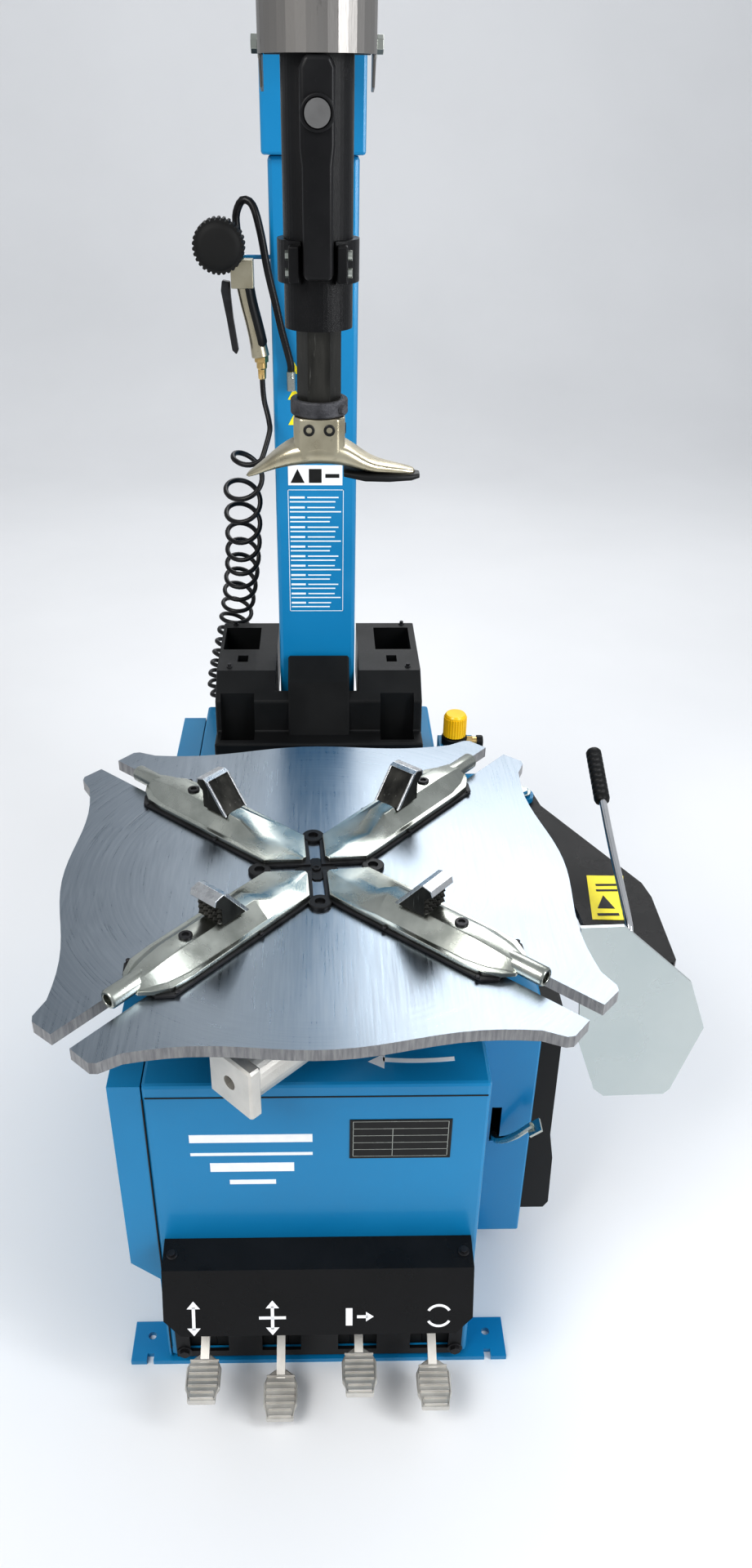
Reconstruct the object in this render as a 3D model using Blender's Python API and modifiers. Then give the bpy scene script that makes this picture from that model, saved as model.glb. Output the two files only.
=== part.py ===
"""Tyre changer with a tilting column, a turntable with four clamps and a side bead breaker.

Metres, +Z up, the pedals and the operator on the -Y side. Every place below is given from the point
on the floor under the turntable's axis, and the empty "machine" moves it all to the part's frame.
"""
from math import atan2, cos, pi, radians, sin, sqrt

import bmesh
import bpy
from mathutils import Matrix, Vector

# ---- Driving dimensions -----------------------------------------------------------------------
AXIS_X, AXIS_Y = -0.0998, -0.2193  # the turntable's axis in the part's frame
GAP = 0.0003                      # between pieces that touch

TABLE_TOP = 0.709
PLATE = 0.0165                    # thickness of the turntable plate
TIP_RADIUS = 0.425
TIP_HALF = 0.0524                 # from a slot's middle to the far corner of a wing's tip
SIDE_MIDDLE, SIDE_WAIST = 0.336, 0.3188
SLOT = 0.0336
TABLE_TURN = radians(3.7)
CLAMP_ANGLES = [45 + 90 * number for number in range(4)]

CABINET_HALF = 0.216
CABINET_FRONT, CABINET_BACK = -0.245, 0.760
CABINET_LOW, CABINET_TOP = 0.012, 0.562
SHEET = 0.003
COVER_OUT = 0.257                 # outer face of the left side cover
HOUSING_OUT = 0.302               # outer face of the bead cylinder's housing

FOOT_HALF = 0.2755
FOOT_DEPTH = 0.063
FOOT_THICK = 0.008

PEDAL_SHAFT = Vector((0.0, 0.060, 0.115))
PEDAL_PLACES = [-0.159, -0.0545, 0.0555, 0.160]
PEDAL_RESTS = [-1.5, 6.7, -3.3, 2.2]      # degrees, positive is pressed down
PEDAL_NAMES = ["tilt", "clamp", "bead", "turn"]

COLUMN_HALF = 0.064
COLUMN_FRONT, COLUMN_BACK = 0.550, 0.678
COLUMN_LOW, COLUMN_TOP = 0.585, 1.524
TILT_PIN = Vector((0.0, 0.702, 0.600))
SLEEVE_TOP = 1.775
ARM_LEVEL, ARM_HALF = 1.700, 0.040
ARM_FRONT, ARM_BACK = 0.085, 0.800

SHAFT_X, SHAFT_Y = 0.007, 0.030
SHAFT_FLATS = 0.041
SHAFT_LOW, SHAFT_TOP = 1.270, 1.900
TUBE_RADIUS = 0.0355
HANDLE_DEPTH = 0.0235
TUBE_LOW, TUBE_TOP = 1.389, 1.765

BEAD_PIN = Vector((0.350, 0.415, 0.553))
BLADE_PIN = Vector((0.450, 0.000, 0.553))
BEAD_PLATE = 0.012

HOSE = 0.008                      # outer diameter of the supply hose
WHIP = 0.011                      # outer diameter of the short hose on the gun
COIL = 0.064                      # outer diameter of the coiled stretch

COLLECTION = "tyre_changer"
PLACES = {}                       # an unturned pivot's place, by name


# ---- Scene, materials and pivots --------------------------------------------------------------
def clear_scene():
    for item in list(bpy.data.objects):
        bpy.data.objects.remove(item, do_unlink=True)


def new_collection(name):
    group = bpy.data.collections.new(name)
    bpy.context.scene.collection.children.link(group)
    return group


def make_material(name, colour, roughness, metallic=0.0):
    material = bpy.data.materials.new(name)
    material.use_nodes = True
    shader = material.node_tree.nodes["Principled BSDF"]
    shader.inputs["Base Color"].default_value = (*colour, 1.0)
    shader.inputs["Roughness"].default_value = roughness
    shader.inputs["Metallic"].default_value = metallic
    return material


def pivot(name, place, parent, turn=(0.0, 0.0, 0.0), local=False):
    """An empty on a joint's axis. A local one gives its children coordinates of its own."""
    empty = bpy.data.objects.new(name, None)
    PARTS.objects.link(empty)
    empty.parent = parent
    empty.location = Vector(place) - PLACES.get(parent.name, Vector()) if parent else Vector(place)
    empty.rotation_euler = turn
    PLACES[name] = Vector() if local or parent is None else Vector(place)
    return empty


def settle(name, mesh, material, parent, place=(0, 0, 0), turn=(0, 0, 0)):
    """Puts a mesh in the model as one named object under its pivot."""
    item = bpy.data.objects.new(name, mesh)
    PARTS.objects.link(item)
    item.parent = parent
    item.location = Vector(place) - PLACES[parent.name]
    item.rotation_euler = turn
    mesh.materials.append(material)
    return item


# ---- Shapes -----------------------------------------------------------------------------------
def box(name, low, high, material, parent, turn=(0, 0, 0)):
    low, high = Vector(low), Vector(high)
    form = bmesh.new()
    bmesh.ops.create_cube(form, size=1.0, matrix=Matrix.Diagonal((*(high - low), 1.0)))
    mesh = bpy.data.meshes.new(name)
    form.to_mesh(mesh)
    form.free()
    return settle(name, mesh, material, parent, (low + high) / 2, turn)


def cylinder(name, start, end, radius, material, parent, sides=32, end_radius=None, turn=0.0):
    start, end = Vector(start), Vector(end)
    way = end - start
    aim = way.to_track_quat("Z", "Y").to_matrix().to_4x4() @ Matrix.Rotation(turn, 4, "Z")
    form = bmesh.new()
    bmesh.ops.create_cone(form, cap_ends=True, segments=sides, radius1=radius,
                          radius2=radius if end_radius is None else end_radius,
                          depth=way.length, matrix=aim)
    mesh = bpy.data.meshes.new(name)
    form.to_mesh(mesh)
    form.free()
    mesh.shade_smooth()
    mesh.set_sharp_from_angle(angle=radians(35))
    return settle(name, mesh, material, parent, (start + end) / 2)


def welded_mesh(name, curve):
    """The closed mesh of a curve: its caps are welded and its faces point out."""
    item = bpy.data.objects.new(name, curve)
    bpy.context.scene.collection.objects.link(item)
    bpy.context.view_layer.update()
    mesh = bpy.data.meshes.new_from_object(item.evaluated_get(bpy.context.evaluated_depsgraph_get()))
    bpy.data.objects.remove(item)
    mesh.materials.clear()
    form = bmesh.new()
    form.from_mesh(mesh)
    bmesh.ops.remove_doubles(form, verts=form.verts, dist=0.00002)
    bmesh.ops.recalc_face_normals(form, faces=form.faces)
    form.to_mesh(mesh)
    form.free()
    mesh.set_sharp_from_angle(angle=radians(35))
    return mesh


TURNS = {"XY": (0, 0, 0), "XZ": (pi / 2, 0, 0), "YZ": (pi / 2, 0, pi / 2)}


def outline(name, points, thickness, plane, place, material, parent, holes=()):
    """A flat plate. Its outline lies in a plane and its thickness is centred on place."""
    curve = bpy.data.curves.new(name, "CURVE")
    curve.dimensions = "2D"
    curve.fill_mode = "BOTH"
    curve.extrude = thickness / 2
    for loop in [points, *holes]:
        spline = curve.splines.new("POLY")
        spline.points.add(len(loop) - 1)
        for point, (across, up) in zip(spline.points, loop):
            point.co = (across, up, 0.0, 1.0)
        spline.use_cyclic_u = True
    return settle(name, welded_mesh(name, curve), material, parent, place, TURNS[plane])


def arc(centre, radius, first, last, steps):
    """Points on a round stretch, from one angle in degrees to another."""
    angles = [radians(first + (last - first) * step / steps) for step in range(steps + 1)]
    return [(centre[0] + radius * cos(angle), centre[1] + radius * sin(angle)) for angle in angles]


def smooth(points, pitch):
    """Evenly spaced points on a smooth curve through a route's own points."""
    route = [Vector(point) for point in points]
    ends = [2 * route[0] - route[1], *route, 2 * route[-1] - route[-2]]
    fine = []
    for one, two, three, four in zip(ends, ends[1:], ends[2:], ends[3:]):
        for step in range(20):
            t = step / 20
            fine.append(0.5 * (2 * two + (three - one) * t
                               + (2 * one - 5 * two + 4 * three - four) * t ** 2
                               + (3 * two - one - 3 * three + four) * t ** 3))
    fine.append(route[-1])
    total = sum((b - a).length for a, b in zip(fine, fine[1:]))
    count = max(2, round(total / pitch))
    spaced, walked, wanted = [fine[0]], 0.0, total / count
    for a, b in zip(fine, fine[1:]):
        span = (b - a).length
        while walked + span >= wanted - 1e-9 and len(spaced) < count:
            spaced.append(a.lerp(b, (wanted - walked) / span))
            wanted += total / count
        walked += span
    return [*spaced, fine[-1]]


def tube_curve(name, points, radius, resolution=2):
    curve = bpy.data.curves.new(name, "CURVE")
    curve.dimensions = "3D"
    curve.bevel_depth = radius
    curve.bevel_resolution = resolution
    curve.use_fill_caps = True
    spline = curve.splines.new("POLY")
    spline.points.add(len(points) - 1)
    for point, place in zip(spline.points, points):
        point.co = (*place, 1.0)
    spline.use_smooth = True
    return curve


def tube(name, points, radius, material, parent, resolution=2):
    """A bent rod or hose along points given in the parent's coordinates."""
    curve = tube_curve(name, [Vector(point) for point in points], radius, resolution)
    return settle(name, welded_mesh(name, curve), material, parent)


def soften(item, width, segments=2):
    bevel = item.modifiers.new("edges", "BEVEL")
    bevel.width = width
    bevel.segments = segments
    bevel.limit_method = "ANGLE"
    bevel.angle_limit = radians(40)
    return item


def combine(item, tools, operation):
    for tool in tools:
        PARTS.objects.unlink(tool)
        CUTTERS.objects.link(tool)
        tool.hide_render = True
        tool.display_type = "WIRE"
        change = item.modifiers.new(operation.lower(), "BOOLEAN")
        change.operation = operation
        change.object = tool
        change.solver = "EXACT"
    return item


def unite(item, *tools):
    return combine(item, tools, "UNION")


def cut(item, *tools):
    return combine(item, tools, "DIFFERENCE")


# ---- Base and cabinet -------------------------------------------------------------------------
def foot_outline(front):
    """A floor bar with a bolt notch in its front edge near each end."""
    back = front + FOOT_DEPTH
    notch, half, deep = 0.248, 0.005, 0.012
    edge = [(-FOOT_HALF, front)]
    for side in (-1, 1):
        near, far = side * notch - half, side * notch + half
        edge += [(near, front), (near, front + deep), (far, front + deep), (far, front)]
    return [*edge, (FOOT_HALF, front), (FOOT_HALF, back), (-FOOT_HALF, back)]


def build_base():
    front, rear = -0.251, 0.690
    holes = [arc((side * 0.249, front + 0.040), 0.006, 0, 345, 23) for side in (-1, 1)]
    base = outline("base_frame", foot_outline(front), FOOT_THICK, "XY", (0, 0, FOOT_THICK / 2),
                   BLUE, MACHINE, holes)
    bar = outline("rear_foot", foot_outline(rear), FOOT_THICK, "XY", (0, 0, FOOT_THICK / 2),
                  BLUE, MACHINE)
    rails = [box("rail", (side * 0.180 - 0.016, front + 0.020, 0.002),
                 (side * 0.180 + 0.016, rear + 0.050, 0.0117), BLUE, MACHINE) for side in (-1, 1)]
    return unite(base, bar, *rails)


def build_cabinet():
    cabinet = box("cabinet_body", (-CABINET_HALF, CABINET_FRONT, CABINET_LOW),
                  (CABINET_HALF, CABINET_BACK, CABINET_TOP), BLUE, MACHINE)
    soften(cabinet, 0.005)
    inside = box("cabinet_inside", (-CABINET_HALF - 0.01, CABINET_FRONT + SHEET, CABINET_LOW - 0.01),
                 (CABINET_HALF - SHEET, CABINET_BACK - SHEET, CABINET_TOP - SHEET), BLUE, MACHINE)
    pedal_way = box("pedal_way", (-0.190, CABINET_FRONT - 0.02, 0.030),
                    (0.190, CABINET_FRONT + 0.02, 0.150), BLUE, MACHINE)
    shaft_way = cylinder("shaft_way", (0, 0, CABINET_TOP - 0.02), (0, 0, CABINET_TOP + 0.02),
                         0.060, BLUE, MACHINE)
    column_way = box("column_way", (-0.074, 0.530, CABINET_TOP - 0.02),
                     (0.074, 0.722, CABINET_TOP + 0.02), BLUE, MACHINE)
    rod_way = cylinder("rod_way", (CABINET_HALF - 0.02, 0.300, 0.500),
                       (CABINET_HALF + 0.02, 0.300, 0.500), 0.020, BLUE, MACHINE, 24)
    return cut(cabinet, inside, pedal_way, shaft_way, column_way, rod_way)


def build_side_cover():
    """The removable left side: a folded sheet that stands proud of the cabinet."""
    inner, outer = -CABINET_HALF - GAP, -COVER_OUT
    fold_high, fold_low, front, back = 0.225, 0.190, CABINET_FRONT, 0.712
    profile = [(inner, CABINET_TOP - 0.001), (outer, CABINET_TOP - 0.001), (outer, fold_high),
               (inner - SHEET, fold_low), (inner - SHEET, CABINET_LOW), (inner, CABINET_LOW)]
    hollow = [(inner + 0.01, CABINET_TOP - 0.004), (outer + SHEET, CABINET_TOP - 0.004),
              (outer + SHEET, fold_high + 0.001), (inner, fold_low + 0.0015),
              (inner + 0.01, fold_low + 0.0015)]
    middle, length = (front + back) / 2, back - front
    cover = outline("left_side_cover", profile, length, "XZ", (0, middle, 0), BLUE, MACHINE)
    space = outline("cover_space", hollow, length - 2 * SHEET, "XZ", (0, middle, 0), BLUE, MACHINE)
    return cut(cover, space)


def build_housing():
    """The box on the right side that the bead breaker's cylinder works in."""
    inner, front, back = CABINET_HALF + GAP, -0.120, 0.500
    low, high = 0.122, CABINET_TOP - 0.001
    housing = soften(box("bead_cylinder_housing", (inner, front, low), (HOUSING_OUT, back, high),
                         BLUE, MACHINE), 0.003)
    space = box("housing_space", (inner - 0.01, front + SHEET, low + SHEET),
                (HOUSING_OUT - SHEET, back - SHEET, high - SHEET), BLUE, MACHINE)
    slot = box("hook_slot", (0.244, front - 0.01, 0.318), (0.258, front + 0.01, 0.385), BLUE, MACHINE)
    rod_way = cylinder("rod_way_out", (HOUSING_OUT - 0.02, 0.300, 0.500),
                       (HOUSING_OUT + 0.02, 0.300, 0.500), 0.020, BLUE, MACHINE, 24)
    return cut(housing, space, slot, rod_way)


def build_pad():
    face = HOUSING_OUT + GAP
    profile = [(face, 0.130), (0.345, 0.130), (0.352, 0.142), (0.349, 0.240), (0.341, 0.290),
               (0.338, 0.525), (0.333, 0.530), (face, 0.530)]
    return outline("wheel_support_pad", profile, 0.330, "XZ", (0, 0.080, 0), RUBBER, MACHINE)


def build_hook():
    """A bent rod with a flattened end that stands out of the housing's slot."""
    hook = tube("lever_hook", smooth([(0.251, -0.100, 0.326), (0.252, -0.128, 0.330),
                                      (0.272, -0.142, 0.350), (0.296, -0.148, 0.380)], 0.008),
                0.005, ZINC, MACHINE)
    blade = box("hook_end", (0.290, -0.160, 0.374), (0.310, -0.138, 0.378), ZINC, MACHINE,
                (0, radians(-38), 0))
    return unite(hook, blade)


# ---- Pedals -----------------------------------------------------------------------------------
COVER_HALF = 0.207


def build_pedal_cover():
    """The folded cover over the levers, open below and cut off at its lower corners."""
    wall = CABINET_FRONT - GAP
    profile = [(wall, 0.276), (-0.290, 0.269), (-0.320, 0.172), (wall, 0.172)]
    space = [(wall + 0.01, 0.2732), (-0.2880, 0.2665), (-0.3180, 0.160), (wall + 0.01, 0.160)]
    cover = outline("pedal_cover", profile, 2 * COVER_HALF, "YZ", (0, 0, 0), BLACK, MACHINE)
    hollow = outline("cover_hollow", space, 2 * COVER_HALF - 0.005, "YZ", (0, 0, 0), BLACK, MACHINE)
    corners = [outline("cover_corner", [(side * 0.215, 0.165), (side * 0.215, 0.203),
                                        (side * 0.178, 0.165)], 0.120, "XZ", (0, -0.300, 0), BLACK,
                       MACHINE) for side in (-1, 1)]
    return cut(cover, hollow, *corners)


def build_pedal_plate():
    """The plate below the cover, with one opening for each pedal."""
    low, high, half = 0.0175, 0.1715, 0.028
    plate = outline("pedal_plate", [(-COVER_HALF, low), (COVER_HALF, low), (COVER_HALF, high),
                                    (-COVER_HALF, high)], 0.005, "XZ",
                    (0, CABINET_FRONT - GAP - 0.0025, 0), BLACK, MACHINE,
                    [[(x - half, 0.030), (x + half, 0.030), (x + half, 0.150), (x - half, 0.150)]
                     for x in PEDAL_PLACES])
    return plate


def build_pedal_shaft():
    """The cross shaft that the pedals turn on, with a flange at its right end."""
    shaft = cylinder("pedal_shaft", (-CABINET_HALF + 0.004, *PEDAL_SHAFT.yz),
                     (CABINET_HALF - SHEET - GAP, *PEDAL_SHAFT.yz), 0.008, STEEL, MACHINE, 24)
    feet = [box("shaft_stand", (x - 0.004, PEDAL_SHAFT.y - 0.016, 0.0120),
                (x + 0.004, PEDAL_SHAFT.y + 0.016, 0.130), STEEL, MACHINE) for x in (-0.180, 0.180)]
    return unite(shaft, *feet)


def pad_outline():
    """A tread plate seen from above: a narrower toe, and a neck towards the lever."""
    right = [(0.0190, -0.420), (0.0192, -0.408), (0.0235, -0.400), (0.0240, -0.372),
             (0.0185, -0.360), (0.0080, -0.352)]
    return right + [(-x, y) for x, y in reversed(right)]


def build_pedal(name, across, rest):
    """One lever with its tread. Its own coordinates start on the shaft, and it points at -Y."""
    place = (across, PEDAL_SHAFT.y, PEDAL_SHAFT.z)
    turn = pivot("axis_of_pedal_" + name, place, MACHINE, (radians(rest), 0, 0), local=True)
    tread = soften(outline("pedal_" + name, pad_outline(), 0.009, "XY", (0, 0, -0.040),
                           ALUMINIUM, turn), 0.0015, 1)
    lever = outline("pedal_lever", [(0.0, 0.012), (-0.300, 0.002), (-0.360, -0.034),
                                    (-0.372, -0.038), (-0.370, -0.041), (-0.357, -0.042),
                                    (-0.300, -0.014), (0.0, -0.012)],
                    0.012, "YZ", (0, 0, 0), ALUMINIUM, turn)
    boss = cylinder("pedal_boss", (-0.014, 0, 0), (0.014, 0, 0), 0.016, ALUMINIUM, turn, 24)
    bore = cylinder("pedal_bore", (-0.020, 0, 0), (0.020, 0, 0), 0.008 + GAP, ALUMINIUM, turn, 24)
    return cut(unite(tread, lever, boss), bore)


# ---- Drive ------------------------------------------------------------------------------------
DRIVE_X, PULLEY_Y, PULLEY_WIDE = -0.090, 0.142, 0.022
WORM_LEVEL, MOTOR_LEVEL = 0.470, 0.250
BIG_PULLEY, SMALL_PULLEY = 0.072, 0.032


def build_gearbox():
    drum = cylinder("gearbox", (0, 0, 0.410), (0, 0, CABINET_TOP - SHEET - GAP), 0.085,
                    IRON, MACHINE, 40)
    worm = box("worm_case", (DRIVE_X - 0.035, -0.100, WORM_LEVEL - 0.035),
               (DRIVE_X + 0.045, 0.110, WORM_LEVEL + 0.035), IRON, MACHINE)
    shaft = cylinder("worm_shaft", (DRIVE_X, 0.10, WORM_LEVEL), (DRIVE_X, 0.160, WORM_LEVEL), 0.009,
                     IRON, MACHINE, 20)
    bore = cylinder("output_bore", (0, 0, 0.4), (0, 0, 0.6), 0.025 + GAP, IRON, MACHINE)
    return cut(unite(drum, worm, shaft), bore)


def build_motor():
    body = cylinder("motor", (DRIVE_X, -0.090, MOTOR_LEVEL), (DRIVE_X, 0.100, MOTOR_LEVEL), 0.065,
                    BLACK, MACHINE, 36)
    shaft = cylinder("motor_shaft", (DRIVE_X, 0.09, MOTOR_LEVEL), (DRIVE_X, 0.160, MOTOR_LEVEL),
                     0.009, BLACK, MACHINE, 20)
    hanger = box("motor_hanger", (DRIVE_X - 0.030, -0.060, MOTOR_LEVEL + 0.040),
                 (DRIVE_X, 0.070, WORM_LEVEL - 0.035 - GAP), BLACK, MACHINE)
    return unite(body, shaft, hanger)


def build_pulley(name, level, radius):
    axis = pivot("axis_of_" + name, (DRIVE_X, PULLEY_Y, level), MACHINE)
    half = PULLEY_WIDE / 2
    wheel = cylinder(name, (DRIVE_X, PULLEY_Y - half, level), (DRIVE_X, PULLEY_Y + half, level),
                     radius, IRON, axis, 40)
    bore = cylinder(name + "_bore", (DRIVE_X, PULLEY_Y - 0.03, level),
                    (DRIVE_X, PULLEY_Y + 0.03, level), 0.009 + GAP, IRON, axis, 20)
    return cut(wheel, bore)


def belt_loop(grow):
    """The stadium round both pulleys, grown by a distance."""
    big, small = BIG_PULLEY + grow, SMALL_PULLEY + grow
    lean = 90 - (180 / pi) * atan2(sqrt((WORM_LEVEL - MOTOR_LEVEL) ** 2 - (big - small) ** 2),
                                   big - small)
    top = arc((DRIVE_X, WORM_LEVEL), big, -lean, 180 + lean, 20)
    low = arc((DRIVE_X, MOTOR_LEVEL), small, 180 + lean, 360 - lean, 14)
    return top + low


def build_belt():
    return outline("drive_belt", belt_loop(0.0063), 0.016, "XZ", (0, PULLEY_Y, 0), RUBBER, MACHINE,
                   [belt_loop(GAP)])


# ---- Turntable --------------------------------------------------------------------------------
def wing_side():
    """Half of one side, from its middle to the slot in the tip, on the -Y side."""
    slot_half = SLOT / 2 / sqrt(2)
    reach = TIP_RADIUS / sqrt(2)
    far = (reach - TIP_HALF / sqrt(2), -reach - TIP_HALF / sqrt(2))
    near = (reach - slot_half, -reach + slot_half)
    swing = []
    for step in range(11):
        across = 0.232 * step / 10
        swing.append((across, -SIDE_WAIST - (SIDE_MIDDLE - SIDE_WAIST)
                      * (1 + cos(pi * min(across / 0.168, 2.0))) / 2))
    return [*swing, (far[0] - 0.006, far[1] + 0.001), (far[0] + 0.003, far[1] + 0.002), near]


def turned_about(points, angle):
    c, s = round(cos(radians(angle)), 9), round(sin(radians(angle)), 9)
    return [(c * x - s * y, s * x + c * y) for x, y in points]


def plate_outline():
    """Four sides in turn, each ending in the slot that runs towards the centre."""
    half = wing_side()
    side = [(-x, y) for x, y in reversed(half[1:])] + half
    slot_end = 0.062
    corner = SLOT / 2 / sqrt(2)
    inner = [(slot_end / sqrt(2) - corner, -slot_end / sqrt(2) - corner),
             (slot_end / sqrt(2) + corner, -slot_end / sqrt(2) + corner)]
    reach = TIP_RADIUS / sqrt(2)
    outer = (reach - SLOT / 2 / sqrt(2), -reach - SLOT / 2 / sqrt(2))
    mirrored = (-outer[0], outer[1])
    one = [mirrored, *side[1:-1], outer, *inner]
    points = []
    for quarter in range(4):
        points += turned_about(one, 90 * quarter)
    return points


def build_plate(table):
    plate = outline("turntable_plate", plate_outline(), PLATE, "XY",
                    (0, 0, TABLE_TOP - PLATE / 2), STEEL, table)
    return plate


def build_table_shaft(table):
    """The square hub under the plate with the shaft that goes down into the gearbox."""
    top = TABLE_TOP - PLATE - GAP
    hub = box("turntable_shaft", (-0.075, -0.075, top - 0.030), (0.075, 0.075, top), IRON, table,
              (0, 0, pi / 4))
    shaft = cylinder("shaft", (0, 0, 0.420), (0, 0, top - 0.010), 0.025, IRON, table)
    neck = cylinder("neck", (0, 0, CABINET_TOP + 0.004), (0, 0, top - 0.010), 0.045, IRON, table)
    return unite(hub, shaft, neck)


def build_clamp_cylinder(table, number):
    """One of the two cylinders under the plate that spread a facing pair of slides."""
    turn = pivot(f"axis_of_cylinder_{number}", (0, 0, 0), table, (0, 0, radians(41.0 + 180 * number)),
                 local=True)
    level, across, half = 0.620, -0.140, 0.037
    barrel = cylinder(f"clamp_cylinder_{number + 1}", (-0.268, across, level), (-0.044, across, level),
                      0.033, ALUMINIUM, turn, 36)
    ends = [soften(box("cylinder_end", (x, across - half, level - half),
                       (x + 0.018, across + half, level + half), ALUMINIUM, turn), 0.003, 1)
            for x in (-0.280, -0.050)]
    hanger = box("cylinder_hanger", (-0.180, across - 0.030, level + 0.020),
                 (-0.120, across + 0.030, TABLE_TOP - PLATE - GAP), ALUMINIUM, turn)
    bore = cylinder("rod_bore", (-0.300, across, level), (-0.100, across, level), 0.0095, ALUMINIUM,
                    turn, 20)
    return cut(unite(barrel, *ends, hanger), bore)


def build_slide(clamp, number):
    """A base plate with its casting on top, and the tongue that runs in the plate's slot."""
    low = TABLE_TOP + GAP
    inner, shoulder, half, outer = 0.010, 0.0555, 0.0455, 0.333
    flat = outline(f"clamp_slide_{number}",
                   [(inner, 0), (shoulder, -half), (outer - 0.015, -half), (outer, -half + 0.015),
                    (outer, half - 0.015), (outer - 0.015, half), (shoulder, half)],
                   0.004, "XY", (0, 0, low + 0.002), ZINC, clamp)
    edge = 0.005
    flange = outline("slide_flange",
                     [(inner + 0.014, -0.007), (shoulder + 0.003, -half + edge),
                      (0.300, -half + edge), (0.322, -0.016), (0.322, 0.016), (0.300, half - edge),
                      (shoulder + 0.003, half - edge), (inner + 0.014, 0.007)],
                     0.008, "XY", (0, 0, low + 0.007), ZINC, clamp)
    ridge = outline("slide_ridge", [(0.100, 0.010), (0.128, 0.030), (0.265, 0.030), (0.325, 0.012),
                                    (0.325, 0.004), (0.100, 0.004)],
                    0.040, "XZ", (0, 0, low), ZINC, clamp)
    soften(ridge, 0.008)
    nose = cylinder("slide_nose", (0.300, 0, low + 0.0125), (0.357, 0, low + 0.0125), 0.0122, ZINC,
                    clamp, 24)
    tongue = box("slide_tongue", (0.085, -0.0160, TABLE_TOP - PLATE - 0.012),
                 (0.205, 0.0160, low + 0.001), ZINC, clamp)
    return unite(flat, flange, ridge, nose, tongue)


def build_jaw(clamp, number):
    """The steel claw on a slide, with a lip at its top."""
    foot = TABLE_TOP + GAP + 0.030 + GAP
    profile = [(0.150, foot), (0.193, foot), (0.193, foot + 0.020), (0.204, foot + 0.034),
               (0.200, foot + 0.040), (0.176, foot + 0.045), (0.164, foot + 0.034)]
    return soften(outline(f"clamp_jaw_{number}", profile, 0.042, "XZ", (0, 0, 0), STEEL, clamp),
                  0.0015, 1)


# ---- Column and its tilt ----------------------------------------------------------------------
def build_column(tilt):
    column = box("column", (-COLUMN_HALF, COLUMN_FRONT, COLUMN_LOW),
                 (COLUMN_HALF, COLUMN_BACK, COLUMN_TOP), BLUE, tilt)
    soften(column, 0.006)
    inside = box("column_inside", (-COLUMN_HALF + 0.005, COLUMN_FRONT + 0.005, COLUMN_LOW + 0.06),
                 (COLUMN_HALF - 0.005, COLUMN_BACK - 0.005, COLUMN_TOP + 0.01), BLUE, tilt)
    knuckle = cylinder("knuckle", (-0.060, *TILT_PIN.yz), (0.060, *TILT_PIN.yz), 0.019, BLUE, tilt)
    web = box("knuckle_web", (-0.060, 0.660, TILT_PIN.z - 0.012),
              (0.060, TILT_PIN.y - 0.005, TILT_PIN.z + 0.019), BLUE, tilt)
    lever = box("tilt_lever", (-0.012, 0.640, 0.446), (0.012, 0.690, 0.600), BLUE, tilt)
    hook = cylinder("gun_hook", (-COLUMN_HALF + 0.002, 0.577, 1.392), (-0.104, 0.577, 1.392), 0.003,
                    BLUE, tilt, 16)
    bore = cylinder("knuckle_bore", (-0.070, *TILT_PIN.yz), (0.070, *TILT_PIN.yz), 0.0100, BLUE, tilt)
    return cut(unite(cut(column, inside), knuckle, web, lever, hook), bore)


def build_hinge_bracket():
    """Two lugs on the cabinet's top, joined behind the column, with the pin fixed in them."""
    base = CABINET_TOP + GAP
    bracket = box("column_hinge_bracket", (-0.086, 0.728, base), (0.086, 0.744, base + 0.014),
                  BLACK, MACHINE)
    lugs = [box("hinge_lug", (min(side * 0.0745, side * 0.086), 0.676, base),
                (max(side * 0.0745, side * 0.086), 0.744, 0.630), BLACK, MACHINE) for side in (-1, 1)]
    pin = cylinder("column_hinge_pin", (-0.089, *TILT_PIN.yz), (0.089, *TILT_PIN.yz), 0.0097,
                   BLACK, MACHINE, 28)
    return unite(bracket, *lugs, pin)


TILT_ROD_LEVEL = 0.460


def build_tilt_cylinder():
    """The cylinder that pulls the column's lever, hung under the cabinet's top."""
    barrel = cylinder("tilt_cylinder", (0, 0.370, TILT_ROD_LEVEL), (0, 0.530, TILT_ROD_LEVEL),
                      0.032, ALUMINIUM, MACHINE, 32)
    hanger = box("tilt_hanger", (-0.024, 0.385, TILT_ROD_LEVEL + 0.02),
                 (0.024, 0.520, CABINET_TOP - SHEET - GAP), ALUMINIUM, MACHINE)
    bore = cylinder("tilt_bore", (0, 0.380, TILT_ROD_LEVEL), (0, 0.540, TILT_ROD_LEVEL), 0.0093,
                    ALUMINIUM, MACHINE, 24)
    return cut(unite(barrel, hanger), bore)


def build_tilt_rod():
    start = (0, 0.460, TILT_ROD_LEVEL)
    axis = pivot("axis_of_tilt_rod", start, MACHINE)
    return cylinder("tilt_rod", start, (0, 0.635, TILT_ROD_LEVEL), 0.009, STEEL, axis, 24)


def build_sleeve(tilt):
    """The box on top of the column that the arm slides in."""
    half = COLUMN_HALF + 0.008
    sleeve = soften(box("arm_sleeve", (-half, 0.536, COLUMN_TOP + GAP), (half, 0.690, SLEEVE_TOP),
                        BLUE, tilt), 0.004)
    way = box("arm_way", (SHAFT_X - ARM_HALF - GAP, 0.5, ARM_LEVEL - ARM_HALF - GAP),
              (SHAFT_X + ARM_HALF + GAP, 0.75, ARM_LEVEL + ARM_HALF + GAP), BLUE, tilt)
    return cut(sleeve, way)


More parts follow.
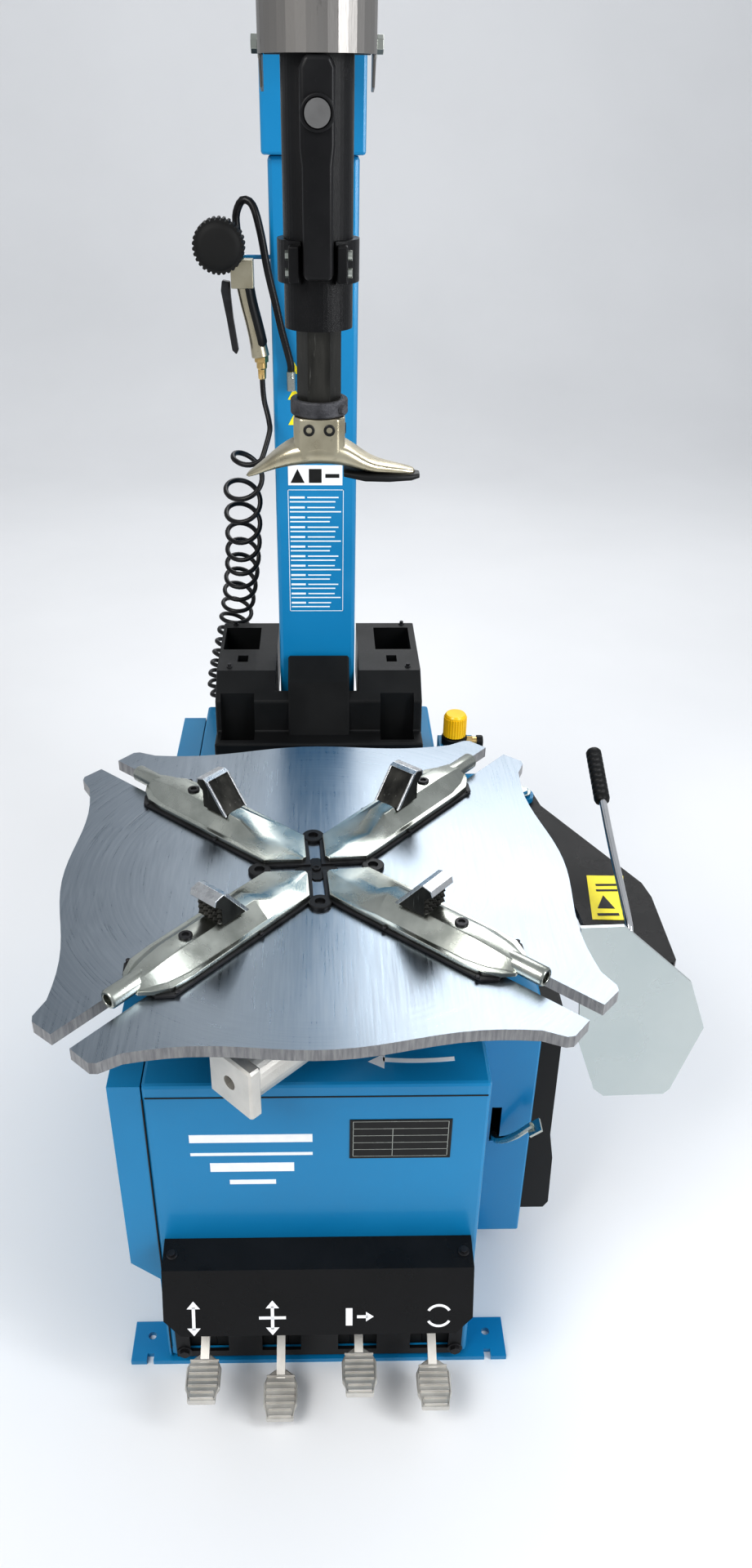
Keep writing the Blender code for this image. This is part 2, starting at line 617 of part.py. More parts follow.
# ---- Arm and head -----------------------------------------------------------------------------
def build_arm(arm):
    beam = soften(box("horizontal_arm", (SHAFT_X - ARM_HALF, ARM_FRONT, ARM_LEVEL - ARM_HALF),
                      (SHAFT_X + ARM_HALF, ARM_BACK, ARM_LEVEL + ARM_HALF), BLACK, arm), 0.004)
    wall = 0.006
    inside = box("arm_inside", (SHAFT_X - ARM_HALF + wall, ARM_FRONT + 0.02, ARM_LEVEL - ARM_HALF + wall),
                 (SHAFT_X + ARM_HALF - wall, ARM_BACK + 0.02, ARM_LEVEL + ARM_HALF - wall), BLACK, arm)
    return cut(beam, inside)


def build_head_tube(arm):
    """The round guide of the vertical shaft, with the block that joins it to the arm."""
    guide = cylinder("shaft_guide", (SHAFT_X, SHAFT_Y, TUBE_LOW), (SHAFT_X, SHAFT_Y, TUBE_TOP),
                     TUBE_RADIUS, BLACK, arm, 48)
    block = box("guide_block", (SHAFT_X - 0.030, SHAFT_Y, 1.650),
                (SHAFT_X + 0.030, ARM_FRONT - GAP, 1.750), BLACK, arm)
    bore = cylinder("guide_bore", (SHAFT_X, SHAFT_Y, 1.3), (SHAFT_X, SHAFT_Y, 1.8), 0.0242, BLACK, arm,
                    48)
    return cut(unite(guide, block), bore)


def build_guard(arm):
    """The bent sheet round the front of the head."""
    radius, back, thick = 0.0565, 0.084, 0.003
    outer = arc((SHAFT_X, SHAFT_Y), radius, 180, 360, 18)
    inner = arc((SHAFT_X, SHAFT_Y), radius - thick, 360, 180, 18)
    loop = [(SHAFT_X - radius, back), *outer, (SHAFT_X + radius, back),
            (SHAFT_X + radius - thick, back), *inner, (SHAFT_X - radius + thick, back)]
    low, high = 1.631, 1.830
    guard = outline("head_guard", loop, high - low, "XY", (0, 0, (low + high) / 2), GREY, arm)
    spacer = cylinder("guard_spacer", (SHAFT_X - radius + 0.001, 0.073, 1.640),
                      (SHAFT_X + radius - 0.001, 0.073, 1.640), 0.0045, GREY, arm, 16)
    return unite(guard, spacer)


def build_clamp_ring(arm):
    ring = cylinder("guide_clamp_ring", (SHAFT_X, SHAFT_Y, 1.434), (SHAFT_X, SHAFT_Y, 1.474), 0.0420,
                    BLACK, arm, 40)
    bore = cylinder("ring_bore", (SHAFT_X, SHAFT_Y, 1.4), (SHAFT_X, SHAFT_Y, 1.5),
                    TUBE_RADIUS + GAP, BLACK, arm, 40)
    front = box("ring_front", (SHAFT_X - 0.0175, -0.05, 1.4), (SHAFT_X + 0.0175, SHAFT_Y, 1.5),
                BLACK, arm)
    return cut(ring, bore, front)


BUTTON_LEVEL = 1.584


def build_lock_handle(arm):
    """The grip in front of the guide, which carries the lock's button."""
    front = SHAFT_Y - TUBE_RADIUS - GAP
    grip = soften(box("lock_handle", (SHAFT_X - 0.017, front - HANDLE_DEPTH, 1.440),
                      (SHAFT_X + 0.017, front, 1.630), BLACK, arm), 0.006)
    well = cylinder("button_well", (SHAFT_X, front - 0.04, BUTTON_LEVEL),
                    (SHAFT_X, front - 0.0125, BUTTON_LEVEL), 0.0128, BLACK, arm, 28)
    return cut(grip, well)


def build_button(arm):
    face = SHAFT_Y - TUBE_RADIUS - GAP - HANDLE_DEPTH
    axis = pivot("axis_of_lock_button", (SHAFT_X, face, BUTTON_LEVEL), arm)
    return cylinder("lock_button", (SHAFT_X, face - 0.006, BUTTON_LEVEL),
                    (SHAFT_X, face + 0.005, BUTTON_LEVEL), 0.0122, GREY, axis, 28)


def build_shaft(slide):
    """The hexagonal shaft with the stop collar that is clamped on it above the head."""
    shaft = cylinder("hex_shaft", (SHAFT_X, SHAFT_Y, SHAFT_LOW), (SHAFT_X, SHAFT_Y, SHAFT_TOP),
                     SHAFT_FLATS / sqrt(3), STEEL, slide, 6, turn=radians(30))
    collar = soften(cylinder("stop_collar", (SHAFT_X, SHAFT_Y, 1.3005), (SHAFT_X, SHAFT_Y, 1.3165),
                             0.0305, STEEL, slide, 32), 0.002, 1)
    return unite(shaft, collar)


def build_mount_head(slide):
    """The head's block with its two horns, one side longer than the other."""
    block = soften(box("mount_head", (SHAFT_X - 0.028, SHAFT_Y - 0.028, 1.252),
                       (SHAFT_X + 0.028, SHAFT_Y + 0.028, 1.3002), BRONZE, slide), 0.004)
    horns = outline("horns", [(-0.076, 1.236), (-0.056, 1.249), (-0.036, 1.266), (-0.016, 1.274),
                              (0.030, 1.274), (0.048, 1.262), (0.068, 1.248), (0.112, 1.242),
                              (0.115, 1.236), (0.066, 1.234), (0.036, 1.244), (0.007, 1.248),
                              (-0.022, 1.244), (-0.048, 1.234), (-0.072, 1.229)],
                    0.044, "XZ", (0, SHAFT_Y, 0), BRONZE, slide)
    bore = cylinder("head_bore", (SHAFT_X, SHAFT_Y, SHAFT_LOW - GAP), (SHAFT_X, SHAFT_Y, 1.35),
                    0.0241, BRONZE, slide, 32)
    return cut(unite(block, soften(horns, 0.004)), bore)


# ---- Bead breaker -----------------------------------------------------------------------------
def build_bead_hinge():
    """The rounded lugs on the housing's side, with the pin that the arm swings on."""
    x, y, z = BEAD_PIN
    half, width, wall = BEAD_PLATE / 2, 0.020, HOUSING_OUT + GAP
    bracket = box("bead_hinge", (wall, y - 0.030, z - half - 0.016), (wall + 0.010, y + 0.030,
                  z + half + 0.016), BLUE, MACHINE)
    lugs = []
    for level in (z - half - 0.0105, z + half + 0.0005):
        lugs.append(box("bead_lug", (wall + 0.005, y - width + 0.0005, level),
                        (x, y + width - 0.0005, level + 0.010), BLUE, MACHINE))
        lugs.append(cylinder("bead_lug_end", (x, y, level - 0.00005), (x, y, level + 0.01005), width,
                             BLUE, MACHINE, 36))
    pin = cylinder("bead_pin", (x, y, z - half - 0.020), (x, y, z + half + 0.020), 0.010, BLUE,
                   MACHINE, 28)
    return unite(bracket, *lugs, pin)


def build_bead_arm(swing):
    x, y, z = BEAD_PIN
    edge = [(0.330, 0.440), (0.330, 0.385), (0.366, 0.220), (0.388, 0.094), (0.391, 0.045),
            (0.391, -0.018), (0.500, -0.018), (0.5045, -0.012), (0.5060, 0.134), (0.4995, 0.170),
            (0.380, 0.394), (0.372, 0.440)]
    holes = [arc((x, y), 0.010 + GAP, 0, 348, 29),
             arc((BLADE_PIN.x, BLADE_PIN.y), 0.007 + GAP, 0, 345, 23)]
    plate = outline("bead_arm", edge, BEAD_PLATE, "XY", (0, 0, z), BLACK, swing, holes)
    lug = box("rod_lug", (0.386, 0.285, 0.484), (0.398, 0.315, z - 0.002), BLACK, swing)
    return unite(plate, lug)


def build_bead_handle(swing):
    """The long handle that leans back from the arm, with its grip."""
    foot = Vector((0.4460, 0.0330, BEAD_PIN.z + BEAD_PLATE / 2 + GAP))
    top = Vector((0.4410, 0.3320, 0.7000))
    knee = foot + Vector((0, 0, 0.012))
    rod = tube("bead_handle", smooth([foot, knee, foot + Vector((0, 0.010, 0.026)),
                                      foot.lerp(top, 0.5) + Vector((0, 0, 0.006)), top], 0.012),
               0.006, STEEL, swing)
    along = (top - foot).normalized()
    grip = soften(cylinder("handle_grip", top - along * 0.096, top + along * 0.004, 0.0125, STEEL,
                           swing, 24), 0.004, 1)
    return unite(rod, grip)


def build_blade(turn):
    """The shovel-shaped blade, its bracket above and below the arm, and its pin."""
    x, y, z = BLADE_PIN
    half = BEAD_PLATE / 2
    shape = [(0.355, 0.641), (0.414, 0.643), (0.5044, 0.5584), (0.5205, 0.543), (0.552, 0.459),
             (0.5213, 0.337), (0.513, 0.327), (0.424, 0.324), (0.408, 0.338), (0.3755, 0.431)]
    plate = outline("bead_blade", shape, 0.005, "XZ", (0, y - 0.040, 0), ZINC, turn)
    lugs = [box("blade_lug", (x - 0.015, y - 0.039, level), (x + 0.015, y + 0.015, level + 0.010),
                ZINC, turn) for level in (z - half - 0.0105, z + half + 0.0005)]
    pin = cylinder("blade_pin", (x, y, z - half - 0.005), (x, y, z + half + 0.005), 0.007, ZINC,
                   turn, 24)
    return unite(plate, *lugs, pin)


def build_bead_cylinder():
    y, z = 0.300, 0.500
    barrel = cylinder("bead_cylinder", (-0.040, y, z), (0.180, y, z), 0.048, ALUMINIUM, MACHINE, 36)
    hanger = box("bead_hanger", (0.020, y - 0.030, z + 0.03),
                 (0.120, y + 0.030, CABINET_TOP - SHEET - GAP), ALUMINIUM, MACHINE)
    bore = cylinder("bead_bore", (-0.030, y, z), (0.200, y, z), 0.0103, ALUMINIUM, MACHINE, 24)
    return cut(unite(barrel, hanger), bore)


def build_bead_rod():
    start = (0.070, 0.300, 0.500)
    axis = pivot("axis_of_bead_rod", start, MACHINE)
    return cylinder("bead_rod", start, (0.382, 0.300, 0.500), 0.010, STEEL, axis, 24)


# ---- Tool tray and air fittings ---------------------------------------------------------------
TRAY_FRONT, TRAY_BACK, TRAY_MIDDLE, TRAY_HALF = 0.440, 0.752, 0.0025, 0.1765


def build_tray():
    """A moulded cover round the column's foot, with wells for tools on both sides."""
    base = CABINET_TOP + GAP
    rim, shelf, deck = 0.654, 0.709, 0.742
    profile = [(TRAY_FRONT, base), (TRAY_BACK, base), (TRAY_BACK, deck), (0.545, deck),
               (0.492, shelf), (0.486, rim), (TRAY_FRONT + 0.002, rim)]
    tray = outline("tool_tray", profile, 2 * TRAY_HALF, "YZ", (TRAY_MIDDLE, 0, 0), BLACK, MACHINE)
    soften(tray, 0.003)
    column_way = box("tray_column_way", (-0.072, 0.510, base - 0.01),
                     (0.072, TRAY_BACK + 0.02, deck + 0.02), BLACK, MACHINE)
    tools = [column_way,
             box("hinge_way", (-0.092, 0.660, base - 0.01), (0.092, TRAY_BACK + 0.02, 0.640),
                 BLACK, MACHINE)]
    for side in (-1, 1):
        tools += [box("back_well", (min(side * 0.104, side * 0.168), 0.632, 0.680),
                      (max(side * 0.104, side * 0.168), 0.728, deck + 0.02), BLACK, MACHINE),
                  box("bit_well", (min(side * 0.122, side * 0.140), 0.580, 0.722),
                      (max(side * 0.122, side * 0.140), 0.606, deck + 0.02), BLACK, MACHINE),
                  box("front_well", (min(side * 0.108, side * 0.165), 0.456, 0.605),
                      (max(side * 0.108, side * 0.165), 0.506, deck + 0.02), BLACK, MACHINE),
                  box("hollow", (min(side * 0.097, side * 0.172), 0.515, base - 0.01),
                      (max(side * 0.097, side * 0.172), TRAY_BACK - 0.006, 0.672), BLACK, MACHINE)]
    hump = outline("tray_hump", [(0.470, 0.644), (0.544, 0.644), (0.544, 0.773), (0.500, 0.742)],
                   0.104, "YZ", (TRAY_MIDDLE, 0, 0), BLACK, MACHINE)
    return unite(cut(tray, *tools), soften(hump, 0.003, 1))


REGULATOR = Vector((0.2435, 0.536, 0.600))


def build_regulator():
    """The air regulator on its plate, with the filter's bowl below."""
    x, y, z = REGULATOR
    wall = CABINET_HALF + GAP
    plate = box("air_regulator", (wall, y - 0.028, z), (x + 0.036, y + 0.028, z + 0.004), BLUE, MACHINE)
    tab = box("regulator_tab", (wall, y - 0.028, 0.520), (wall + 0.004, y + 0.028, z + 0.003), BLUE,
              MACHINE)
    body = box("regulator_body", (x - 0.022, y - 0.022, z - 0.045), (x + 0.022, y + 0.022, z + 0.002),
               BLUE, MACHINE)
    bowl = cylinder("filter_bowl", (x, y, z - 0.120), (x, y, z - 0.040), 0.019, BLUE, MACHINE, 28)
    collar = cylinder("regulator_collar", (x, y, z + 0.003), (x, y, z + 0.018), 0.023, BLUE, MACHINE, 28)
    port = cylinder("air_port", (x + 0.015, y, z + 0.0055), (x + 0.052, y, z + 0.0055),
                    0.0118, BLUE, MACHINE, 20)
    return unite(plate, tab, body, bowl, collar, port)


def build_regulator_knob():
    x, y, z = REGULATOR
    axis = pivot("axis_of_regulator_knob", (x, y, z), MACHINE)
    low = z + 0.018 + GAP
    return soften(cylinder("regulator_knob", (x, y, low), (x, y, low + 0.044), 0.0205, YELLOW, axis,
                           30, 0.0190), 0.0025, 1)


# ---- Inflator and its hoses -------------------------------------------------------------------
GUN_Y = 0.553
GAUGE = Vector((-0.133, 0.5115, 1.414))


def build_gun(tilt):
    grip = tube("inflator_gun", [(-0.103, GUN_Y, 1.366), (-0.092, GUN_Y, 1.310), (-0.082, GUN_Y, 1.262)],
                0.0130, ZINC, tilt, 4)
    head = soften(box("gun_head", (-0.1205, GUN_Y - 0.015, 1.352), (-0.086, GUN_Y + 0.015, 1.393), ZINC,
                      tilt), 0.004)
    neck = cylinder("gauge_neck", (-0.1165, GUN_Y, 1.387), (-0.1165, GAUGE.y + 0.020 + GAP, 1.387),
                    0.0055, ZINC, tilt, 20)
    inlet = cylinder("gun_inlet", (-0.080, GUN_Y, 1.268), (-0.080, GUN_Y, 1.226), 0.0075, ZINC, tilt,
                     20)
    outlet = cylinder("gun_outlet", (-0.109, GUN_Y, 1.370), (-0.109, GUN_Y, 1.398), 0.0075, ZINC, tilt,
                      20)
    return unite(grip, head, neck, inlet, outlet)


def build_gauge(tilt):
    """The gauge in its ribbed rubber boot, in front of the gun's head."""
    x, y, z = GAUGE
    return soften(cylinder("pressure_gauge", (x, y - 0.020, z), (x, y + 0.020, z), 0.036, RUBBER, tilt,
                           48), 0.003)


TRIGGER_PIN = Vector((-0.127, GUN_Y, 1.357))


def build_trigger(tilt):
    axis = pivot("axis_of_trigger", TRIGGER_PIN, tilt)
    return soften(outline("gun_trigger", [(-0.1225, 1.362), (-0.134, 1.364), (-0.136, 1.350),
                                          (-0.129, 1.310), (-0.123, 1.268), (-0.117, 1.262),
                                          (-0.114, 1.268), (-0.120, 1.312), (-0.1225, 1.345)],
                          0.016, "XZ", (0, GUN_Y, 0), IRON, axis), 0.0015, 1)


WHIP_ROUTE = [(-0.109, GUN_Y, 1.3985), (-0.1095, 0.553, 1.425), (-0.110, 0.553, 1.450),
              (-0.100, 0.550, 1.468), (-0.086, 0.545, 1.462), (-0.076, 0.538, 1.430),
              (-0.067, 0.536, 1.380), (-0.057, 0.536, 1.336), (-0.049, 0.536, 1.300),
              (-0.040, 0.538, 1.265), (-0.0363, 0.538, 1.250), (-0.036, 0.538, 1.2405)]
SUPPLY_ROUTE = [(-0.080, GUN_Y, 1.2255), (-0.0795, 0.552, 1.210), (-0.077, 0.546, 1.190),
                (-0.071, 0.534, 1.170), (-0.070, 0.520, 1.150), (-0.0768, 0.5150, 1.1325)]
COIL_ROUTE = [(-0.0895, 0.512, 1.130), (-0.112, 0.548, 1.080), (-0.120, 0.600, 1.020),
              (-0.126, 0.665, 0.940), (-0.136, 0.735, 0.855), (-0.150, 0.785, 0.770),
              (-0.166, 0.797, 0.690), (-0.186, 0.793, 0.610), (-0.186, 0.793, 0.5420)]
ELBOW = Vector((-0.186, 0.793, 0.500))


def build_chuck(tilt):
    """The clip-on air chuck at the short hose's end."""
    body = cylinder("air_chuck", (-0.036, 0.538, 1.2397), (-0.036, 0.538, 1.212), 0.0068, ZINC, tilt,
                    24)
    lever = box("chuck_lever", (-0.0395, 0.526, 1.214), (-0.0325, 0.536, 1.232), ZINC, tilt)
    return unite(body, lever)


def build_hoses(tilt):
    tube("whip_hose", smooth(WHIP_ROUTE, 0.012), WHIP / 2, RUBBER, tilt)
    tube("supply_hose", smooth(SUPPLY_ROUTE, 0.010), HOSE / 2, RUBBER, tilt)
    tube("supply_coil", smooth(COIL_ROUTE, 0.030), COIL / 2, RUBBER, MACHINE, 4)


def build_fitting():
    """The brass elbow on the cabinet's back that the supply hose ends in."""
    x, y, z = ELBOW
    wall = CABINET_BACK + GAP
    stem = cylinder("hose_fitting", (x, wall, z), (x, y + 0.006, z), 0.0085, BRASS, MACHINE, 24)
    nut = cylinder("fitting_nut", (x, wall, z), (x, wall + 0.008, z), 0.0125, BRASS, MACHINE, 6)
    spout = cylinder("fitting_spout", (x, y, z), (x, y, z + 0.040), 0.0075, BRASS, MACHINE, 24)
    return unite(stem, nut, spout)


# ---- Assembly ---------------------------------------------------------------------------------
def build_fixed_parts():
    build_base()
    build_cabinet()
    build_side_cover()
    build_housing()
    build_pad()
    build_hook()
    build_pedal_cover()
    build_pedal_plate()
    build_pedal_shaft()
    build_gearbox()
    build_motor()
    build_belt()
    build_hinge_bracket()
    build_tilt_cylinder()
    build_bead_hinge()
    build_bead_cylinder()
    build_tray()
    build_regulator()
    build_fitting()


def build_moving_drive():
    for name, across, rest in zip(PEDAL_NAMES, PEDAL_PLACES, PEDAL_RESTS):
        build_pedal(name, across, rest)
    build_pulley("gearbox_pulley", WORM_LEVEL, BIG_PULLEY)
    build_pulley("motor_pulley", MOTOR_LEVEL, SMALL_PULLEY)
    build_tilt_rod()
    build_bead_rod()
    build_regulator_knob()


def build_turntable():
    table = pivot("turntable_axis", (0, 0, 0), MACHINE, (0, 0, TABLE_TURN), local=True)
    build_plate(table)
    build_table_shaft(table)
    for number in range(2):
        build_clamp_cylinder(table, number)
    for number, angle in enumerate(CLAMP_ANGLES, 1):
        clamp = pivot(f"clamp_{number}", (0, 0, 0), table, (0, 0, radians(angle)), local=True)
        build_slide(clamp, number)
        build_jaw(clamp, number)


def build_column_group():
    tilt = pivot("column_tilt_axis", TILT_PIN, MACHINE)
    build_column(tilt)
    build_sleeve(tilt)
    arm = pivot("arm_slide_start", (SHAFT_X, ARM_FRONT, ARM_LEVEL), tilt)
    for build in (build_arm, build_head_tube, build_guard, build_clamp_ring, build_lock_handle,
                  build_button):
        build(arm)
    slide = pivot("shaft_slide_start", (SHAFT_X, SHAFT_Y, SHAFT_LOW), arm)
    for build in (build_shaft, build_mount_head):
        build(slide)
    for build in (build_gun, build_gauge, build_trigger, build_chuck, build_hoses):
        build(tilt)


def build_bead_breaker():
    swing = pivot("bead_arm_axis", BEAD_PIN, MACHINE)
    build_bead_arm(swing)
    build_bead_handle(swing)
    build_blade(pivot("blade_axis", BLADE_PIN, swing))


clear_scene()
PARTS = new_collection(COLLECTION)
CUTTERS = new_collection("cutters")
BLUE = make_material("blue_paint", (0.02, 0.30, 0.62), 0.35)
BLACK = make_material("black_coat", (0.02, 0.02, 0.022), 0.5)
GREY = make_material("grey_coat", (0.20, 0.20, 0.20), 0.45, 0.3)
RUBBER = make_material("rubber", (0.015, 0.015, 0.015), 0.7)
STEEL = make_material("brushed_steel", (0.62, 0.63, 0.65), 0.35, 1.0)
ZINC = make_material("zinc", (0.66, 0.66, 0.60), 0.35, 1.0)
BRONZE = make_material("nickel_bronze", (0.55, 0.50, 0.38), 0.35, 1.0)
ALUMINIUM = make_material("aluminium", (0.70, 0.69, 0.66), 0.45, 1.0)
IRON = make_material("cast_iron", (0.10, 0.10, 0.10), 0.6, 0.6)
BRASS = make_material("brass", (0.70, 0.52, 0.22), 0.35, 1.0)
YELLOW = make_material("yellow_plastic", (0.90, 0.65, 0.02), 0.4)
MACHINE = pivot("machine", (AXIS_X, AXIS_Y, 0.0), None)
build_fixed_parts()
build_moving_drive()
build_turntable()
build_column_group()
build_bead_breaker()
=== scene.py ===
"""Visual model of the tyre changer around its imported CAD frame. Metres, in the part's frame."""
from math import atan2, cos, pi, radians, sin

import bmesh
import bpy
from mathutils import Matrix, Vector

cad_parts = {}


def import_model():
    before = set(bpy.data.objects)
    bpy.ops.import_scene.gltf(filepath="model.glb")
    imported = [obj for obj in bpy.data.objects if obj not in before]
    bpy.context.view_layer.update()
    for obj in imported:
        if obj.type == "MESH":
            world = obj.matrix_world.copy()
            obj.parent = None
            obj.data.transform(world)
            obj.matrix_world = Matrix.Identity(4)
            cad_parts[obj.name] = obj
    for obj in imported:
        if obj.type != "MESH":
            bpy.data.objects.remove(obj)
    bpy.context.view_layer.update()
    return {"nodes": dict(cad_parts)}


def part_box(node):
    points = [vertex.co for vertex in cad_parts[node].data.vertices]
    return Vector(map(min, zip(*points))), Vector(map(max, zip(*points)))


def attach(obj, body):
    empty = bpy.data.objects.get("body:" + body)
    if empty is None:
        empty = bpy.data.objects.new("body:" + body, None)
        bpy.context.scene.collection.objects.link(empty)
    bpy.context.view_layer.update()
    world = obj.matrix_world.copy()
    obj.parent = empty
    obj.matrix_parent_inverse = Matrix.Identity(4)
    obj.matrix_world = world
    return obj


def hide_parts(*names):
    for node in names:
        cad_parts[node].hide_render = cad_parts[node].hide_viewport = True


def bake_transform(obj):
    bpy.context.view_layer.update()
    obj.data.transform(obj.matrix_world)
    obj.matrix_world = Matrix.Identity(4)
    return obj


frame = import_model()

LOW, HIGH = (Vector(corner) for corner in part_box("turntable_plate"))
AXIS = (LOW + HIGH) / 2
MACHINE = Matrix.Translation((AXIS.x, AXIS.y, 0.0))  # from the turntable's axis on the floor
TABLE_TOP = HIGH.z
TABLE_TURN = radians(3.7)
SHAFT_X, SHAFT_Y = 0.007, 0.030
BUTTON_LEVEL = 1.584
GUARD_BOLT_Y, GUARD_BOLT_LEVEL = 0.073, 1.640
PEDAL_SHAFT_Y, PEDAL_SHAFT_LEVEL = 0.060, 0.115
COLUMN_FRONT, CABINET_FRONT, CABINET_TOP, ARM_TOP = 0.5500, -0.2450, 0.5620, 0.5590


def world(x, y, z):
    return MACHINE @ Vector((x, y, z))


# ---- Camera, light and floor --------------------------------------------------------------------
def build_camera():
    data = bpy.data.cameras.new("camera")
    data.lens, data.sensor_width, data.sensor_fit = 26.33, 36.0, "AUTO"
    data.shift_x = 0.0193
    data.clip_start, data.clip_end = 0.05, 60.0
    camera = bpy.data.objects.new("camera", data)
    bpy.context.scene.collection.objects.link(camera)
    aim = (Matrix.Rotation(radians(-1.3), 4, "Z") @ Matrix.Rotation(radians(58.69), 4, "X")
           @ Matrix.Rotation(radians(0.42), 4, "Z"))
    camera.matrix_world = Matrix.Translation(world(0.0099, -1.252, 1.605)) @ aim
    bpy.context.scene.camera = camera


def area_light(name, place, target, size, power, colour=(1, 1, 1)):
    data = bpy.data.lights.new(name, "AREA")
    data.shape, data.size, data.size_y = "RECTANGLE", size[0], size[1]
    data.energy, data.color = power, colour
    lamp = bpy.data.objects.new(name, data)
    bpy.context.scene.collection.objects.link(lamp)
    lamp.location = place
    lamp.rotation_euler = (Vector(target) - Vector(place)).to_track_quat("-Z", "Y").to_euler()


def build_studio():
    area_light("key", (-1.9, -2.2, 3.4), (0, 0, 0.8), (1.8, 1.8), 88, (1.0, 0.98, 0.95))
    area_light("fill", (2.4, -1.8, 2.4), (0, 0, 0.8), (1.6, 2.2), 34, (0.93, 0.96, 1.0))
    area_light("back", (0.8, 2.6, 3.2), (0, 0, 1.0), (2.6, 1.6), 50)
    area_light("strip", (1.25, -1.05, 1.75), (0, 0.05, 1.5), (0.22, 1.5), 16)
    area_light("wash", (0.0, 3.2, 4.6), (0, 6.5, 1.6), (4.0, 1.5), 45)
    scene_world = bpy.data.worlds.new("studio")
    scene_world.use_nodes = True
    shade = scene_world.node_tree.nodes["Background"]
    shade.inputs["Color"].default_value = (0.93, 0.96, 1.0, 1.0)
    shade.inputs["Strength"].default_value = 0.60
    bpy.context.scene.world = scene_world
    view = bpy.context.scene.view_settings
    view.view_transform, view.gamma, view.exposure = "Standard", 0.80, 0.04


# ---- Materials ----------------------------------------------------------------------------------
MATERIALS = {}


def node(tree, kind, **inputs):
    item = tree.nodes.new(kind)
    for name, value in inputs.items():
        socket = item.inputs[name.replace("_", " ")]
        if isinstance(value, bpy.types.NodeSocket):
            tree.links.new(value, socket)
        else:
            socket.default_value = value
    return item


def spread(tree, source, low, high, start=0.35, end=0.65):
    """A value from low to high as the source goes from start to end."""
    item = node(tree, "ShaderNodeMapRange", Value=source)
    for name, value in (("From Min", start), ("From Max", end), ("To Min", low), ("To Max", high)):
        item.inputs[name].default_value = value
    return item.outputs["Result"]


def blended(tree, factor, one, two):
    item = tree.nodes.new("ShaderNodeMix")
    item.data_type = "RGBA"
    tree.links.new(factor, item.inputs[0])
    for socket, value in ((item.inputs[6], one), (item.inputs[7], two)):
        if isinstance(value, bpy.types.NodeSocket):
            tree.links.new(value, socket)
        else:
            socket.default_value = (*value, 1.0)
    return item.outputs[2]


def noise(tree, vector, scale, detail=3.0, rough=0.55):
    item = node(tree, "ShaderNodeTexNoise", Vector=vector, Scale=scale, Detail=detail, Roughness=rough)
    return item.outputs["Fac"]


def surface(name, colour, second, rough, metallic=0.0, patches=9.0, grain=600.0, depth=0.15,
            stretch=(1, 1, 1), rough_spread=0.06, coat=0.0, extra=None, lift=0.0004):
    """A painted, moulded or metal surface with uneven colour and gloss and a fine grain."""
    material = bpy.data.materials.new(name)
    material.use_nodes = True
    tree = material.node_tree
    shader = tree.nodes["Principled BSDF"]
    place = node(tree, "ShaderNodeTexCoord").outputs["Object"]
    mapped = node(tree, "ShaderNodeMapping", Vector=place, Scale=stretch).outputs["Vector"]
    broad = noise(tree, mapped, patches, 4.0)
    fine = noise(tree, mapped, grain, 2.0)
    paint = blended(tree, spread(tree, broad, 0.0, 1.0, 0.3, 0.7), colour, second)
    gloss = spread(tree, broad, rough - rough_spread, rough + rough_spread)
    height = fine
    if extra:
        paint, gloss, height = extra(tree, place, paint, gloss, fine)
    tree.links.new(paint, shader.inputs["Base Color"])
    tree.links.new(gloss, shader.inputs["Roughness"])
    bump = node(tree, "ShaderNodeBump", Strength=depth, Distance=lift, Height=height)
    tree.links.new(bump.outputs["Normal"], shader.inputs["Normal"])
    if sum(colour) < 0.06 and not metallic:
        shader.inputs["Specular IOR Level"].default_value = 0.32
    shader.inputs["Metallic"].default_value = metallic
    shader.inputs["Coat Weight"].default_value = coat
    shader.inputs["Coat Roughness"].default_value = 0.12
    MATERIALS[name] = material
    return material


def scratched(amount, colour, scale=(40, 3, 40)):
    """Thin worn lines of another colour."""
    def change(tree, place, paint, gloss, height):
        lines = node(tree, "ShaderNodeMapping", Vector=place, Scale=scale,
                     Rotation=(0.3, 0.5, 0.8)).outputs["Vector"]
        mask = spread(tree, noise(tree, lines, 6.0, 6.0, 0.7), 0.0, amount, 0.62, 0.72)
        return blended(tree, mask, paint, colour), gloss, height
    return change


